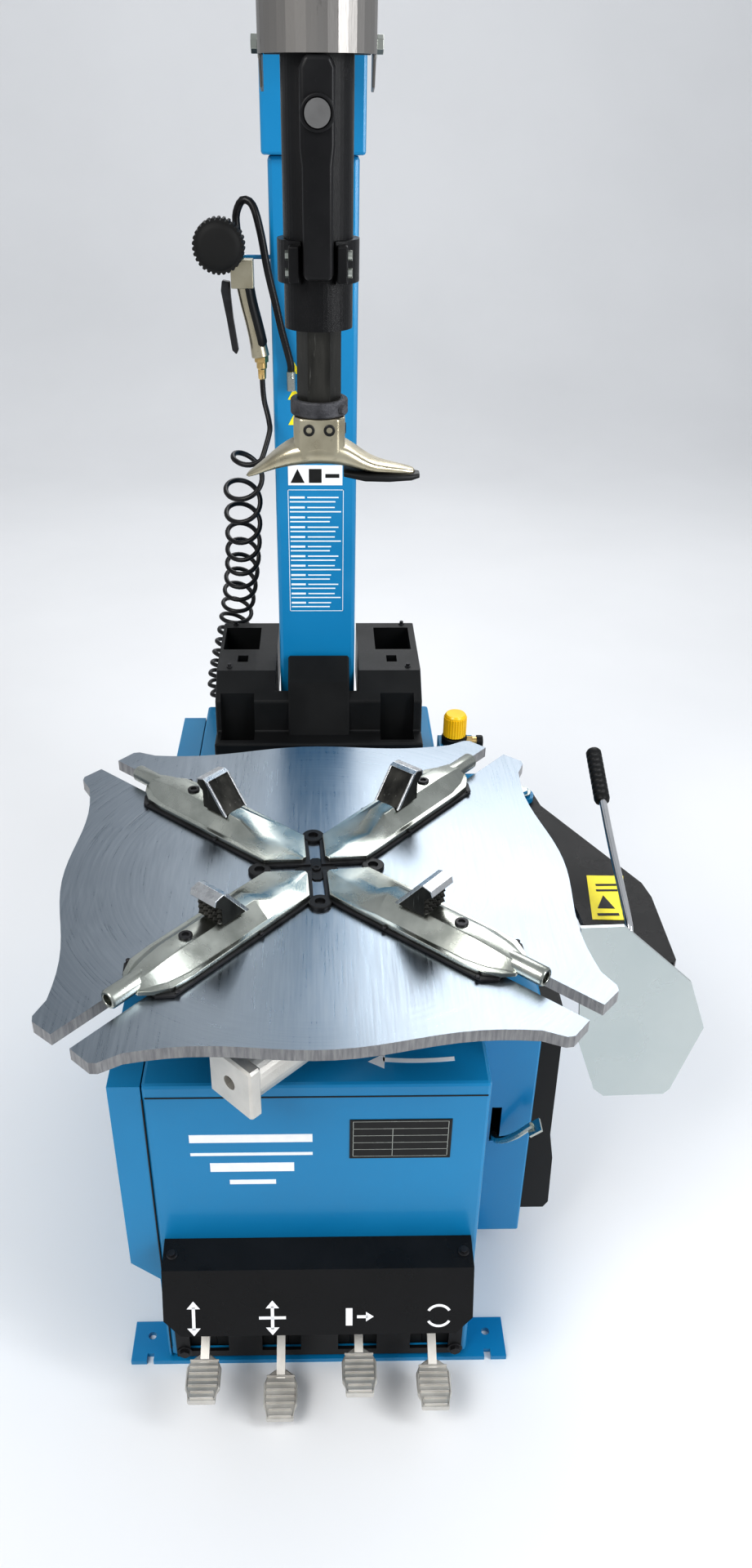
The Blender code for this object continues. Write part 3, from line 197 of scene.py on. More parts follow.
def cut_edges(tree, place, paint, gloss, height):
    """Ground arcs on the flat top and a dark rough torch cut on the plate's edge."""
    centred = node(tree, "ShaderNodeMapping", Vector=place, Location=(-AXIS.x, -AXIS.y, 0.0))
    radius = tree.nodes.new("ShaderNodeVectorMath")
    radius.operation = "LENGTH"
    tree.links.new(centred.outputs["Vector"], radius.inputs[0])
    warp = noise(tree, place, 5.0, 2.0)
    stepped = node(tree, "ShaderNodeCombineXYZ", X=radius.outputs["Value"], Y=warp)
    arcs = noise(tree, node(tree, "ShaderNodeMapping", Vector=stepped.outputs["Vector"],
                            Scale=(900, 7, 1)).outputs["Vector"], 1.0, 3.0, 0.6)
    streaks = noise(tree, node(tree, "ShaderNodeMapping", Vector=place, Rotation=(0, 0, 0.6),
                               Scale=(300, 12, 1)).outputs["Vector"], 1.0, 3.0, 0.6)
    swirl = blended(tree, spread(tree, noise(tree, place, 3.0, 2.0), 0, 1, 0.4, 0.6),
                    (0, 0, 0), (1, 1, 1))
    pattern = blended(tree, swirl, arcs, streaks)
    paint = blended(tree, spread(tree, pattern, 0.0, 0.35), paint, (0.42, 0.45, 0.49))
    normal = node(tree, "ShaderNodeSeparateXYZ",
                  Vector=node(tree, "ShaderNodeNewGeometry").outputs["Normal"])
    flat = tree.nodes.new("ShaderNodeMath")
    flat.operation = "ABSOLUTE"
    tree.links.new(normal.outputs["Z"], flat.inputs[0])
    top = spread(tree, flat.outputs["Value"], 0.0, 1.0, 0.5, 0.8)
    cut_lines = noise(tree, node(tree, "ShaderNodeMapping", Vector=place,
                                 Scale=(260, 260, 30)).outputs["Vector"], 1.0, 3.0)
    edge = blended(tree, spread(tree, cut_lines, 0, 1), (0.25, 0.25, 0.26), (0.36, 0.36, 0.36))
    paint = blended(tree, top, edge, paint)
    gloss = spread(tree, pattern, 0.27, 0.36)
    height = blended(tree, top, cut_lines, pattern)
    return paint, gloss, height


def build_materials():
    surface("blue_paint", (0.003, 0.215, 0.430), (0.004, 0.240, 0.470), 0.34, 0.0, 4.0, 900.0, 0.10,
            coat=0.30, extra=scratched(0.08, (0.02, 0.30, 0.55)))
    surface("black_coat", (0.003, 0.003, 0.0035), (0.006, 0.006, 0.007), 0.30, 0.0, 12.0, 1500.0, 0.55,
            lift=0.0006)
    surface("black_satin", (0.006, 0.006, 0.007), (0.012, 0.012, 0.013), 0.36, 0.0, 14.0, 800.0, 0.12,
            extra=scratched(0.4, (0.035, 0.035, 0.035)))
    surface("black_plastic", (0.006, 0.0065, 0.007), (0.011, 0.0115, 0.012), 0.40, 0.0, 10.0, 1800.0, 0.35,
            extra=scratched(0.22, (0.045, 0.045, 0.045), (14, 60, 60)))
    surface("rubber", (0.006, 0.006, 0.006), (0.012, 0.012, 0.012), 0.60, 0.0, 20.0, 900.0, 0.30)
    surface("hose", (0.008, 0.008, 0.009), (0.016, 0.016, 0.017), 0.30, 0.0, 30.0, 500.0, 0.10)
    surface("grey_plastic", (0.10, 0.10, 0.10), (0.15, 0.15, 0.15), 0.42, 0.0, 20.0, 1500.0, 0.35)
    surface("grey_coat", (0.20, 0.19, 0.18), (0.30, 0.29, 0.28), 0.36, 0.75, 7.0, 500.0, 0.20,
            stretch=(1, 1, 0.15), extra=scratched(0.5, (0.10, 0.09, 0.08), (25, 25, 6)))
    surface("plate_steel", (0.24, 0.28, 0.32), (0.32, 0.36, 0.40), 0.30, 1.0, 2.5, 700.0, 0.12,
            extra=cut_edges)
    surface("ground_steel", (0.55, 0.56, 0.57), (0.68, 0.69, 0.70), 0.28, 1.0, 18.0, 300.0, 0.20,
            stretch=(6, 6, 1))
    surface("dark_steel", (0.030, 0.030, 0.028), (0.085, 0.083, 0.075), 0.34, 0.85, 16.0, 500.0, 0.30,
            stretch=(3, 3, 0.6), extra=scratched(0.8, (0.25, 0.25, 0.23), (30, 30, 3)))
    surface("rough_steel", (0.045, 0.045, 0.050), (0.13, 0.13, 0.14), 0.60, 0.6, 60.0, 350.0, 0.9,
            lift=0.001)
    surface("zinc", (0.44, 0.46, 0.42), (0.56, 0.58, 0.54), 0.27, 1.0, 22.0, 350.0, 0.15,
            extra=scratched(0.25, (0.34, 0.35, 0.32), (20, 20, 20)))
    surface("blade_zinc", (0.50, 0.55, 0.55), (0.60, 0.64, 0.63), 0.30, 1.0, 4.0, 500.0, 0.15,
            rough_spread=0.08)
    surface("nickel_bronze", (0.50, 0.45, 0.33), (0.60, 0.56, 0.44), 0.30, 1.0, 30.0, 400.0, 0.22,
            extra=scratched(0.5, (0.28, 0.24, 0.16), (30, 30, 30)))
    surface("brass", (0.66, 0.46, 0.18), (0.76, 0.58, 0.30), 0.28, 1.0, 60.0, 500.0, 0.15)
    surface("aluminium", (0.62, 0.60, 0.56), (0.72, 0.70, 0.66), 0.45, 0.7, 30.0, 700.0, 0.6)
    surface("chrome", (0.75, 0.76, 0.77), (0.82, 0.82, 0.83), 0.14, 1.0, 30.0, 500.0, 0.05)
    surface("cast_iron", (0.035, 0.035, 0.036), (0.075, 0.073, 0.070), 0.55, 0.5, 30.0, 400.0, 0.8,
            lift=0.001)
    surface("black_oxide", (0.016, 0.016, 0.018), (0.045, 0.045, 0.048), 0.38, 0.5, 30.0, 600.0, 0.25)
    surface("yellow_plastic", (0.86, 0.52, 0.006), (0.92, 0.60, 0.012), 0.33, 0.0, 25.0, 900.0, 0.12,
            coat=0.2)
    surface("white_print", (0.82, 0.83, 0.84), (0.88, 0.88, 0.89), 0.40, 0.0, 60.0, 900.0, 0.05)
    surface("yellow_print", (0.85, 0.72, 0.02), (0.90, 0.78, 0.04), 0.40, 0.0, 60.0, 900.0, 0.05)
    # Black print, also used for the painted shadow strips in the cabinet's gaps.
    surface("black_print_and_shadow", (0.012, 0.012, 0.012), (0.020, 0.020, 0.020), 0.42, 0.0, 60.0, 900.0, 0.05)
    surface("studio_floor", (0.76, 0.765, 0.775), (0.80, 0.805, 0.815), 0.75, 0.0, 0.8, 30.0, 0.02)


NODE_MATERIALS = {
    "blue_paint": "base_frame cabinet_body left_side_cover bead_cylinder_housing bead_hinge "
                  "air_regulator column arm_sleeve",
    "black_coat": "pedal_cover shaft_guide motor bead_arm guide_clamp_ring",
    "black_satin": "pedal_plate column_hinge_bracket horizontal_arm",
    "black_plastic": "tool_tray wheel_support_pad",
    "rubber": "drive_belt",
    "plate_steel": "turntable_plate",
    "ground_steel": "pedal_shaft tilt_rod bead_rod",
    "dark_steel": "hex_shaft",
    "cast_iron": "gearbox gearbox_pulley motor_pulley turntable_shaft",
    "zinc": "lever_hook air_chuck",
    "blade_zinc": "bead_blade",
    "aluminium": "tilt_cylinder bead_cylinder clamp_cylinder_1 clamp_cylinder_2 pedal_tilt pedal_clamp "
                 "pedal_bead pedal_turn",
    "brass": "hose_fitting",
    "yellow_plastic": "regulator_knob",
    "chrome": "bead_handle",
    "black_oxide": "gun_trigger",
    "grey_plastic": "lock_button",
    "grey_coat": "head_guard",
    "nickel_bronze": "mount_head inflator_gun",
}


def finish_nodes():
    for material, names in NODE_MATERIALS.items():
        for name in names.split():
            item = frame["nodes"][name]
            item.data.materials.clear()
            item.data.materials.append(MATERIALS[material])


# ---- Forms --------------------------------------------------------------------------------------
class Form:
    """Shapes gathered into one mesh, given in the coordinates of place."""

    def __init__(self, place=MACHINE):
        self.mesh, self.place = bmesh.new(), place

    def box(self, low, high, turn=Matrix()):
        low, high = Vector(low), Vector(high)
        fit = Matrix.Translation((low + high) / 2) @ turn @ Matrix.Diagonal((*(high - low), 1.0))
        bmesh.ops.create_cube(self.mesh, size=1.0, matrix=self.place @ fit)
        return self

    def rod(self, start, end, radius, sides=24, end_radius=None):
        start, end = Vector(start), Vector(end)
        aim = (end - start).to_track_quat("Z", "Y").to_matrix().to_4x4()
        bmesh.ops.create_cone(self.mesh, cap_ends=True, segments=sides, radius1=radius,
                              radius2=radius if end_radius is None else end_radius,
                              depth=(end - start).length,
                              matrix=self.place @ Matrix.Translation((start + end) / 2) @ aim)
        return self

    def loft(self, rings, closed=False, capped=True):
        """A skin over rings with the same number of points."""
        rows = [[self.mesh.verts.new(self.place @ Vector(point)) for point in ring] for ring in rings]
        pairs = list(zip(rows, rows[1:])) + ([(rows[-1], rows[0])] if closed else [])
        for one, two in pairs:
            for index in range(len(one)):
                after = (index + 1) % len(one)
                self.mesh.faces.new((one[index], one[after], two[after], two[index]))
        if capped and not closed:
            self.mesh.faces.new(rows[0][::-1])
            self.mesh.faces.new(rows[-1])
        return self

    def plate(self, points, low, high, plane="XY"):
        """An outline with a thickness. The plane says which two directions the outline uses."""
        order = {"XY": lambda a, b, c: (a, b, c), "XZ": lambda a, b, c: (a, c, b),
                 "YZ": lambda a, b, c: (c, a, b)}[plane]
        return self.loft([[order(a, b, level) for a, b in points] for level in (low, high)])

    def lathe(self, profile, foot, way, sides=32):
        """A turned shape from (along, radius) steps; a ring when both ends keep off the middle."""
        aim = Matrix.Translation(foot) @ Vector(way).to_track_quat("Z", "Y").to_matrix().to_4x4()
        hollow = min(profile[0][1], profile[-1][1]) > 0.002
        return self.loft([[aim @ Vector((radius * cos(2 * pi * step / sides),
                                         radius * sin(2 * pi * step / sides), along))
                           for step in range(sides)] for along, radius in profile], closed=hollow)

    def done(self, name, material, body, slot=None, bevel=0.0, segments=2, sub=0, stands_for=(),
             angle=35):
        bmesh.ops.recalc_face_normals(self.mesh, faces=self.mesh.faces)
        data = bpy.data.meshes.new(name)
        self.mesh.to_mesh(data)
        self.mesh.free()
        data.materials.append(MATERIALS[material])
        data.shade_smooth()
        data.set_sharp_from_angle(angle=radians(angle))
        item = bpy.data.objects.new(name, data)
        bpy.context.scene.collection.objects.link(item)
        if bevel:
            soft = item.modifiers.new("edges", "BEVEL")
            soft.width, soft.segments, soft.limit_method = bevel, segments, "ANGLE"
            soft.angle_limit = radians(30)
            soft.harden_normals = True
        if sub:
            smooth = item.modifiers.new("smooth", "SUBSURF")
            smooth.levels = smooth.render_levels = sub
        if body:
            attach(item, body)
        if stands_for:
            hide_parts(*stands_for)
        return item


def arc(centre, radius, first, last, steps):
    return [(centre[0] + radius * cos(radians(first + (last - first) * step / steps)),
             centre[1] + radius * sin(radians(first + (last - first) * step / steps)))
            for step in range(steps + 1)]


def build_backdrop():
    """One pale sheet that runs over the floor and bends up behind."""
    bend = [(y, 0.0) for y in (-8.0, -2.0, 0.0, 2.5)] + arc((4.0, 2.5), 2.5, 270, 360, 14)
    bend += [(6.5, 7.0)]
    form = Form(Matrix())
    rows = [[form.mesh.verts.new((x, y, z)) for y, z in bend] for x in (-9.0, 9.0)]
    for index in range(len(bend) - 1):
        form.mesh.faces.new((rows[0][index], rows[1][index], rows[1][index + 1], rows[0][index + 1]))
    sheet = form.done("floor", "studio_floor", None)


# ---- Hoses --------------------------------------------------------------------------------------
def smooth_line(points, pitch):
    """Evenly spaced points on a smooth curve through a route's own points."""
    route = [Vector(point) for point in points]
    ends = [2 * route[0] - route[1], *route, 2 * route[-1] - route[-2]]
    fine = []
    for one, two, three, four in zip(ends, ends[1:], ends[2:], ends[3:]):
        for step in range(20):
            t = step / 20
            fine.append(0.5 * (2 * two + (three - one) * t
                               + (2 * one - 5 * two + 4 * three - four) * t ** 2
                               + (3 * two - one - 3 * three + four) * t ** 3))
    fine.append(route[-1])
    total = sum((b - a).length for a, b in zip(fine, fine[1:]))
    count = max(2, round(total / pitch))
    spaced, walked, wanted = [fine[0]], 0.0, total / count
    for a, b in zip(fine, fine[1:]):
        span = (b - a).length
        while walked + span >= wanted - 1e-9 and len(spaced) < count:
            spaced.append(a.lerp(b, (wanted - walked) / span))
            wanted += total / count
        walked += span
    return [*spaced, fine[-1]]


def line_length(points):
    return sum((b - a).length for a, b in zip(points, points[1:]))


def hose(name, points, radius, body, slot="hose", sides=14, material="hose"):
    """A tube along points in the machine's coordinates, as one mesh."""
    form = Form()
    rings, side = [], None
    for index, point in enumerate(points):
        way = (points[min(index + 1, len(points) - 1)] - points[max(index - 1, 0)]).normalized()
        side = way.orthogonal() if side is None else side - way * side.dot(way)
        side.normalize()
        other = way.cross(side)
        rings.append([point + radius * (cos(2 * pi * k / sides) * side + sin(2 * pi * k / sides) * other)
                      for k in range(sides)])
    form.loft(rings)
    return form.done(name, material, body, slot, angle=60)


GUN_Y = 0.553
WHIP_ROUTE = [(-0.109, GUN_Y, 1.3985), (-0.1095, 0.553, 1.425), (-0.110, 0.553, 1.450),
              (-0.100, 0.550, 1.468), (-0.086, 0.545, 1.462), (-0.076, 0.538, 1.430),
              (-0.067, 0.536, 1.380), (-0.057, 0.536, 1.336), (-0.049, 0.536, 1.300),
              (-0.040, 0.538, 1.265), (-0.0363, 0.538, 1.250), (-0.036, 0.538, 1.2405)]
SUPPLY_ROUTE = [(-0.080, GUN_Y, 1.2255), (-0.0795, 0.552, 1.210), (-0.077, 0.546, 1.190),
                (-0.071, 0.534, 1.170), (-0.070, 0.520, 1.150), (-0.0768, 0.5150, 1.1325)]
COIL_ROUTE = [(-0.0895, 0.512, 1.130), (-0.112, 0.548, 1.080), (-0.120, 0.600, 1.020),
              (-0.126, 0.665, 0.940), (-0.136, 0.735, 0.855), (-0.150, 0.785, 0.770),
              (-0.166, 0.797, 0.690), (-0.186, 0.793, 0.610), (-0.186, 0.793, 0.5420)]
COIL_RADIUS, HOSE_RADIUS = 0.028, 0.004
FIRST_PITCH, LAST_PITCH = 0.084, 0.020


def coil_line():
    """A helix round the coil's route whose turns draw closer together on the way down."""
    spine = smooth_line(COIL_ROUTE, 0.004)
    total = line_length(spine)
    joining, ending = 0.030, 0.045
    points, walked, phase = [], 0.0, pi * 0.25
    side = None
    for index, place in enumerate(spine):
        way = (spine[min(index + 1, len(spine) - 1)] - spine[max(index - 1, 0)]).normalized()
        side = Vector((1, 0, 0)) if side is None else side
        side = (side - way * side.dot(way)).normalized()
        other = way.cross(side)
        if index:
            before = spine[index - 1]
            steps = 3
            for step in range(1, steps + 1):
                spot = before.lerp(place, step / steps)
                along = walked + (place - before).length * step / steps
                pitch = FIRST_PITCH + (LAST_PITCH - FIRST_PITCH) * min(1.0, along / total * 1.15)
                phase += 2 * pi * (place - before).length / steps / pitch
                size = COIL_RADIUS * min(1.0, max(0.0, (total - along) / ending)) ** 0.5
                size *= min(1.0, 0.5 + along / joining * 0.5)
                points.append(spot + size * (cos(phase) * side + sin(phase) * other))
            walked += (place - before).length
    return points


def build_hoses():
    whip = smooth_line(WHIP_ROUTE, 0.006)
    first = hose("whip_line", whip, 0.0055, "column_body")
    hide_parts("whip_hose")
    straight = smooth_line(SUPPLY_ROUTE[:5], 0.004)
    coil = coil_line()
    joined = smooth_line([*straight[::4], *coil[:-14:3], Vector(COIL_ROUTE[-1])], 0.0060)
    joined = joined[::-1]
    supply = hose("supply_line", joined, HOSE_RADIUS, None, sides=12)
    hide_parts("supply_hose", "supply_coil")
    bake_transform(supply)


# ---- Turntable ----------------------------------------------------------------------------------
TABLE = MACHINE @ Matrix.Rotation(TABLE_TURN, 4, "Z") @ Matrix.Translation((0, 0, TABLE_TOP))


def slide_rings():
    """Cross sections of a slide's casting: flange, slopes and the ridge in the middle."""
    stations = [(0.022, 0.004, 0.0090, 0.003, 0.002, 0.0095), (0.058, 0.0400, 0.0105, 0.034, 0.012, 0.0112),
                (0.098, 0.0405, 0.0105, 0.034, 0.012, 0.0120), (0.130, 0.0405, 0.0110, 0.034, 0.012, 0.0300),
                (0.262, 0.0405, 0.0110, 0.034, 0.012, 0.0300), (0.292, 0.0380, 0.0110, 0.028, 0.011, 0.0265),
                (0.312, 0.0260, 0.0110, 0.018, 0.009, 0.0225), (0.324, 0.0130, 0.0100, 0.010, 0.006, 0.0200)]
    rings = []
    for x, base, flange, slope, ridge, top in stations:
        right = [(base, 0.0043), (base, flange), (slope, flange + 0.0006), (ridge, top),
                 (ridge * 0.5, top + 0.0008)]
        rings.append([(x, y, z) for y, z in right] + [(x, -y, z) for y, z in reversed(right)])
    return rings


def build_slides():
    for number in range(1, 5):
        place = TABLE @ Matrix.Rotation(radians(90 * number - 45), 4, "Z")
        body = f"clamp_{number}"
        base = [(0.010, 0), (0.0555, -0.0440), (0.296, -0.0440), (0.311, -0.0290), (0.311, 0.0290),
                (0.296, 0.0440), (0.0555, 0.0440)]
        Form(place).plate(base, 0.0004, 0.0042).done(f"slide_base_{number}", "black_oxide", body,
                                                     "zinc", 0.0006)
        casting = Form(place).loft(slide_rings())
        casting.lathe([(0.0, 0.001), (0.0, 0.0122), (0.057, 0.0122), (0.060, 0.0105), (0.060, 0.0072),
                       (0.045, 0.0068), (0.045, 0.0005)], (0.297, 0, 0.0128), (1, 0, 0))
        casting.box((0.085, -0.0158, -0.0282), (0.205, 0.0158, 0.003))
        casting.done(f"slide_casting_{number}", "zinc", body, "zinc", 0.0012, 2,
                     stands_for=(f"clamp_slide_{number}",))
        screws = Form(place).lathe([(0.0, 0.0005), (0.0, 0.0085), (0.0030, 0.0085), (0.0036, 0.0076),
                                    (0.0036, 0.0044), (0.0012, 0.0042), (0.0012, 0.0004)],
                                   (0.235, 0, 0.0300), (0, 0, 1), 20)
        for x, y in ((0.150, 0.0430), (0.290, 0.0430), (0.150, -0.0430), (0.290, -0.0430)):
            screws.lathe([(0, 0.0003), (0, 0.0030), (0.0022, 0.0030), (0.0030, 0.0020),
                          (0.0030, 0.0003)], (x, y, 0.0040), (0, 0, 1), 14)
        screws.done(f"slide_screws_{number}", "black_oxide", body, "steel", angle=30)
        jaw = Form(place).plate([(0.1520, 0.0306), (0.193, 0.0306), (0.193, 0.0560), (0.2035, 0.0650),
                                 (0.2010, 0.0720), (0.1900, 0.0748), (0.1860, 0.0730)],
                                -0.0205, 0.0205, "XZ")
        for high in (0.036, 0.044, 0.052):
            for step in range(5):
                y = -0.016 + 0.008 * step
                jaw.rod((0.1925, y, high), (0.1980, y, high), 0.0052, 4, 0.0005)
        jaw.done(f"jaw_body_{number}", "dark_steel", body, "steel", 0.0010,
                 stands_for=(f"clamp_jaw_{number}",))
        rim = Form(place).plate([(0.1835, 0.0722), (0.1900, 0.0745), (0.2010, 0.0715),
                                 (0.2035, 0.0648), (0.2052, 0.0655), (0.2028, 0.0735),
                                 (0.1900, 0.0765), (0.1822, 0.0738)], -0.0213, 0.0213, "XZ")
        for side in (-1, 1):
            low, high = sorted((side * 0.0182, side * 0.0213))
            rim.plate([(0.1480, 0.0306), (0.1540, 0.0306), (0.1880, 0.0735), (0.1825, 0.0740)],
                      low, high, "XZ")
        rim.done(f"jaw_lip_{number}", "ground_steel", body, "steel", 0.0006)


def build_table_middle():
    screws = Form(TABLE)
    for step in range(4):
        angle = radians(90 * step)
        screws.lathe([(-0.004, 0.0005), (-0.004, 0.0150), (0.0002, 0.0150), (0.0010, 0.0138),
                      (0.0010, 0.0070), (-0.0030, 0.0066), (-0.0030, 0.0005)],
                     (0.076 * cos(angle), 0.076 * sin(angle), 0.0042), (0, 0, 1), 28)
    screws.done("table_screws", "black_satin", "turntable", "steel", angle=30)
    middle = Form(TABLE)
    middle.plate([(-0.029, 0), (-0.004, -0.025), (0.004, -0.025), (0.029, 0), (0.004, 0.025),
                  (-0.004, 0.025)], 0.0002, 0.0020)
    middle.lathe([(0, 0.0005), (0, 0.0060), (0.0020, 0.0060), (0.0028, 0.0050), (0.0028, 0.0030),
                  (0.0012, 0.0028), (0.0012, 0.0004)], (0, 0, 0.0020), (0, 0, 1), 20)
    middle.done("table_middle", "black_satin", "turntable", "steel", 0.0005)


# ---- Head ---------------------------------------------------------------------------------------
def oval(x, half, low, high, power=0.62, steps=20):
    """A rounded cross section at x, between two heights."""
    def soft(value):
        return abs(value) ** power * (1 if value >= 0 else -1)
    middle, tall = (low + high) / 2, (high - low) / 2
    return [(x, SHAFT_Y + half * soft(cos(2 * pi * step / steps)),
             middle + tall * soft(sin(2 * pi * step / steps))) for step in range(steps)]


def build_mount_head():
    stations = [(-0.0760, 1.2335, 1.2290, 0.005), (-0.060, 1.2440, 1.2345, 0.012),
                (-0.045, 1.2570, 1.2405, 0.018), (-0.030, 1.2680, 1.2445, 0.024),
                (-0.015, 1.2740, 1.2475, 0.028), (0.007, 1.2760, 1.2490, 0.030),
                (0.030, 1.2740, 1.2475, 0.028), (0.045, 1.2650, 1.2435, 0.026),
                (0.062, 1.2520, 1.2385, 0.022), (0.080, 1.2465, 1.2360, 0.016),
                (0.100, 1.2430, 1.2340, 0.012), (0.1150, 1.2395, 1.2345, 0.008)]
    horns = Form().loft([oval(x, half, low, high) for x, high, low, half in stations])
    horns.done("head_horns", "nickel_bronze", "head_shaft", "nickel_bronze", sub=1,
               stands_for=("mount_head",), angle=50)
    block = Form().plate([(SHAFT_X + x, SHAFT_Y + y) for x, y in
                          ((-0.028, -0.020), (-0.020, -0.028), (0.020, -0.028), (0.028, -0.020),
                           (0.028, 0.020), (0.020, 0.028), (-0.020, 0.028), (-0.028, 0.020))],
                         1.254, 1.3002)
    block.done("head_block", "nickel_bronze", "head_shaft", "nickel_bronze", 0.003, 3)
    screws = Form()
    front = SHAFT_Y - 0.0275
    ring = [(0, 0.0004), (0, 0.0062), (0.0012, 0.0062), (0.0018, 0.0054), (0.0018, 0.0034),
            (-0.0005, 0.0032), (-0.0005, 0.0004)]
    for x, z in ((-0.011, 1.288), (0.011, 1.288)):
        screws.lathe(ring, (SHAFT_X + x, front, z), (0, -1, 0), 18)
    screws.lathe(ring, (SHAFT_X + 0.0275, SHAFT_Y, 1.284), (1, 0, 0), 18)
    screws.done("head_screws", "black_print_and_shadow", "head_shaft", "steel", angle=30)
    insert = Form().loft([oval(x, half, low, high) for x, high, low, half in
                          ((0.034, 1.2410, 1.2330, 0.017), (0.058, 1.2390, 1.2285, 0.0215),
                           (0.085, 1.2375, 1.2275, 0.0195), (0.110, 1.2365, 1.2280, 0.0140),
                           (0.119, 1.2355, 1.2300, 0.0080))])
    insert.done("head_insert", "black_plastic", "head_shaft", "black_plastic", angle=50)
    collar = Form().lathe([(0, 0.0252), (0, 0.0300), (0.0015, 0.0312), (0.0150, 0.0312),
                           (0.0165, 0.0298), (0.0165, 0.0252)], (SHAFT_X, SHAFT_Y, 1.3003), (0, 0, 1), 48)
    collar.rod((SHAFT_X + 0.022, SHAFT_Y - 0.018, 1.3085), (SHAFT_X + 0.028, SHAFT_Y - 0.024, 1.3085),
               0.0050, 6)
    collar.done("collar_ring", "rough_steel", "head_shaft", "steel", 0.0006, angle=30)


def build_handle():
    front, face = SHAFT_Y - 0.0358, SHAFT_Y - 0.0593
    points = [(-0.0125, 1.440), (0.0125, 1.440), (0.0150, 1.446), (0.0150, 1.540), (0.0168, 1.556),
              (0.0168, 1.620), (0.0120, 1.630), (-0.0120, 1.630), (-0.0168, 1.620), (-0.0168, 1.556),
              (-0.0150, 1.540), (-0.0150, 1.446)]
    grip = Form().plate([(SHAFT_X + x, z) for x, z in points], face + 0.0005, front, "XZ")
    grip.done("handle_body", "black_satin", "arm", "black_plastic", 0.005, 4,
              stands_for=("lock_handle",))
    boss = Form().lathe([(0, 0.0130), (0, 0.0165), (0.0040, 0.0165), (0.0052, 0.0155),
                         (0.0052, 0.0130)], (SHAFT_X, face + 0.001, BUTTON_LEVEL), (0, -1, 0), 40)
    boss.done("button_boss", "black_satin", "arm", "black_plastic", 0.0006, angle=30)
    ring = Form()
    for side in (-1, 1):
        ring.box((SHAFT_X + side * 0.0240 - 0.0055, SHAFT_Y - 0.050, 1.4370),
                 (SHAFT_X + side * 0.0240 + 0.0055, SHAFT_Y - 0.030, 1.4710))
    ring.done("ring_ears", "black_coat", "arm", "black_coat", 0.002)
    screws = Form()
    for level in (1.446, 1.462):
        screws.lathe([(0, 0.0004), (0, 0.0050), (0.0045, 0.0050), (0.0050, 0.0044), (0.0050, 0.0026),
                      (0.0025, 0.0024), (0.0025, 0.0003)], (SHAFT_X + 0.0290, SHAFT_Y - 0.041, level),
                     (1, 0, 0), 18)
        screws.rod((SHAFT_X - 0.0330, SHAFT_Y - 0.041, level), (SHAFT_X - 0.0290, SHAFT_Y - 0.041, level),
                   0.0048, 6)
    screws.done("ring_screws", "zinc", "arm", "steel", angle=30)


def build_guard_fixings():
    bolts = Form()
    for side in (-1, 1):
        x = SHAFT_X + side * 0.0560
        bolts.lathe([(0, 0.0005), (0, 0.0125), (0.0016, 0.0125), (0.0020, 0.0118), (0.0020, 0.0005)],
                    (x, GUARD_BOLT_Y, GUARD_BOLT_LEVEL), (side, 0, 0), 28)
        bolts.rod((x + side * 0.002, GUARD_BOLT_Y, GUARD_BOLT_LEVEL),
                  (x + side * 0.0085, GUARD_BOLT_Y, GUARD_BOLT_LEVEL), 0.0085, 6)
    bolts.done("guard_bolts", "zinc", "arm", "steel", 0.0006, angle=30)
    flanges = Form()
    for side in (-1, 1):
        low, high = sorted((SHAFT_X + side * 0.0535, SHAFT_X + side * 0.0564))
        flanges.plate([(0.044, 1.665), (0.044, 1.628), (0.064, 1.604), (0.0840, 1.600),
                       (0.0840, 1.665)], low, high, "YZ")
    flanges.done("guard_flanges", "grey_coat", "arm", "grey_coat", 0.0008)
    bushes = Form()
    for side in (-1, 1):
        bushes.lathe([(0, 0.0005), (0, 0.0088), (0.0200, 0.0088), (0.0200, 0.0005)],
                     (SHAFT_X + side * 0.0325, GUARD_BOLT_Y, GUARD_BOLT_LEVEL), (side, 0, 0), 24)
    bushes.done("guard_bushes", "black_plastic", "arm", "black_plastic", 0.0008, angle=30)


# ---- Inflator -----------------------------------------------------------------------------------
def gear(teeth, inner, outer):
    """A toothed outline round the origin."""
    points = []
    for step in range(teeth):
        for part, radius in ((0.0, inner), (0.18, outer), (0.62, outer), (0.80, inner)):
            angle = 2 * pi * (step + part) / teeth
            points.append((radius * cos(angle), radius * sin(angle)))
    return points


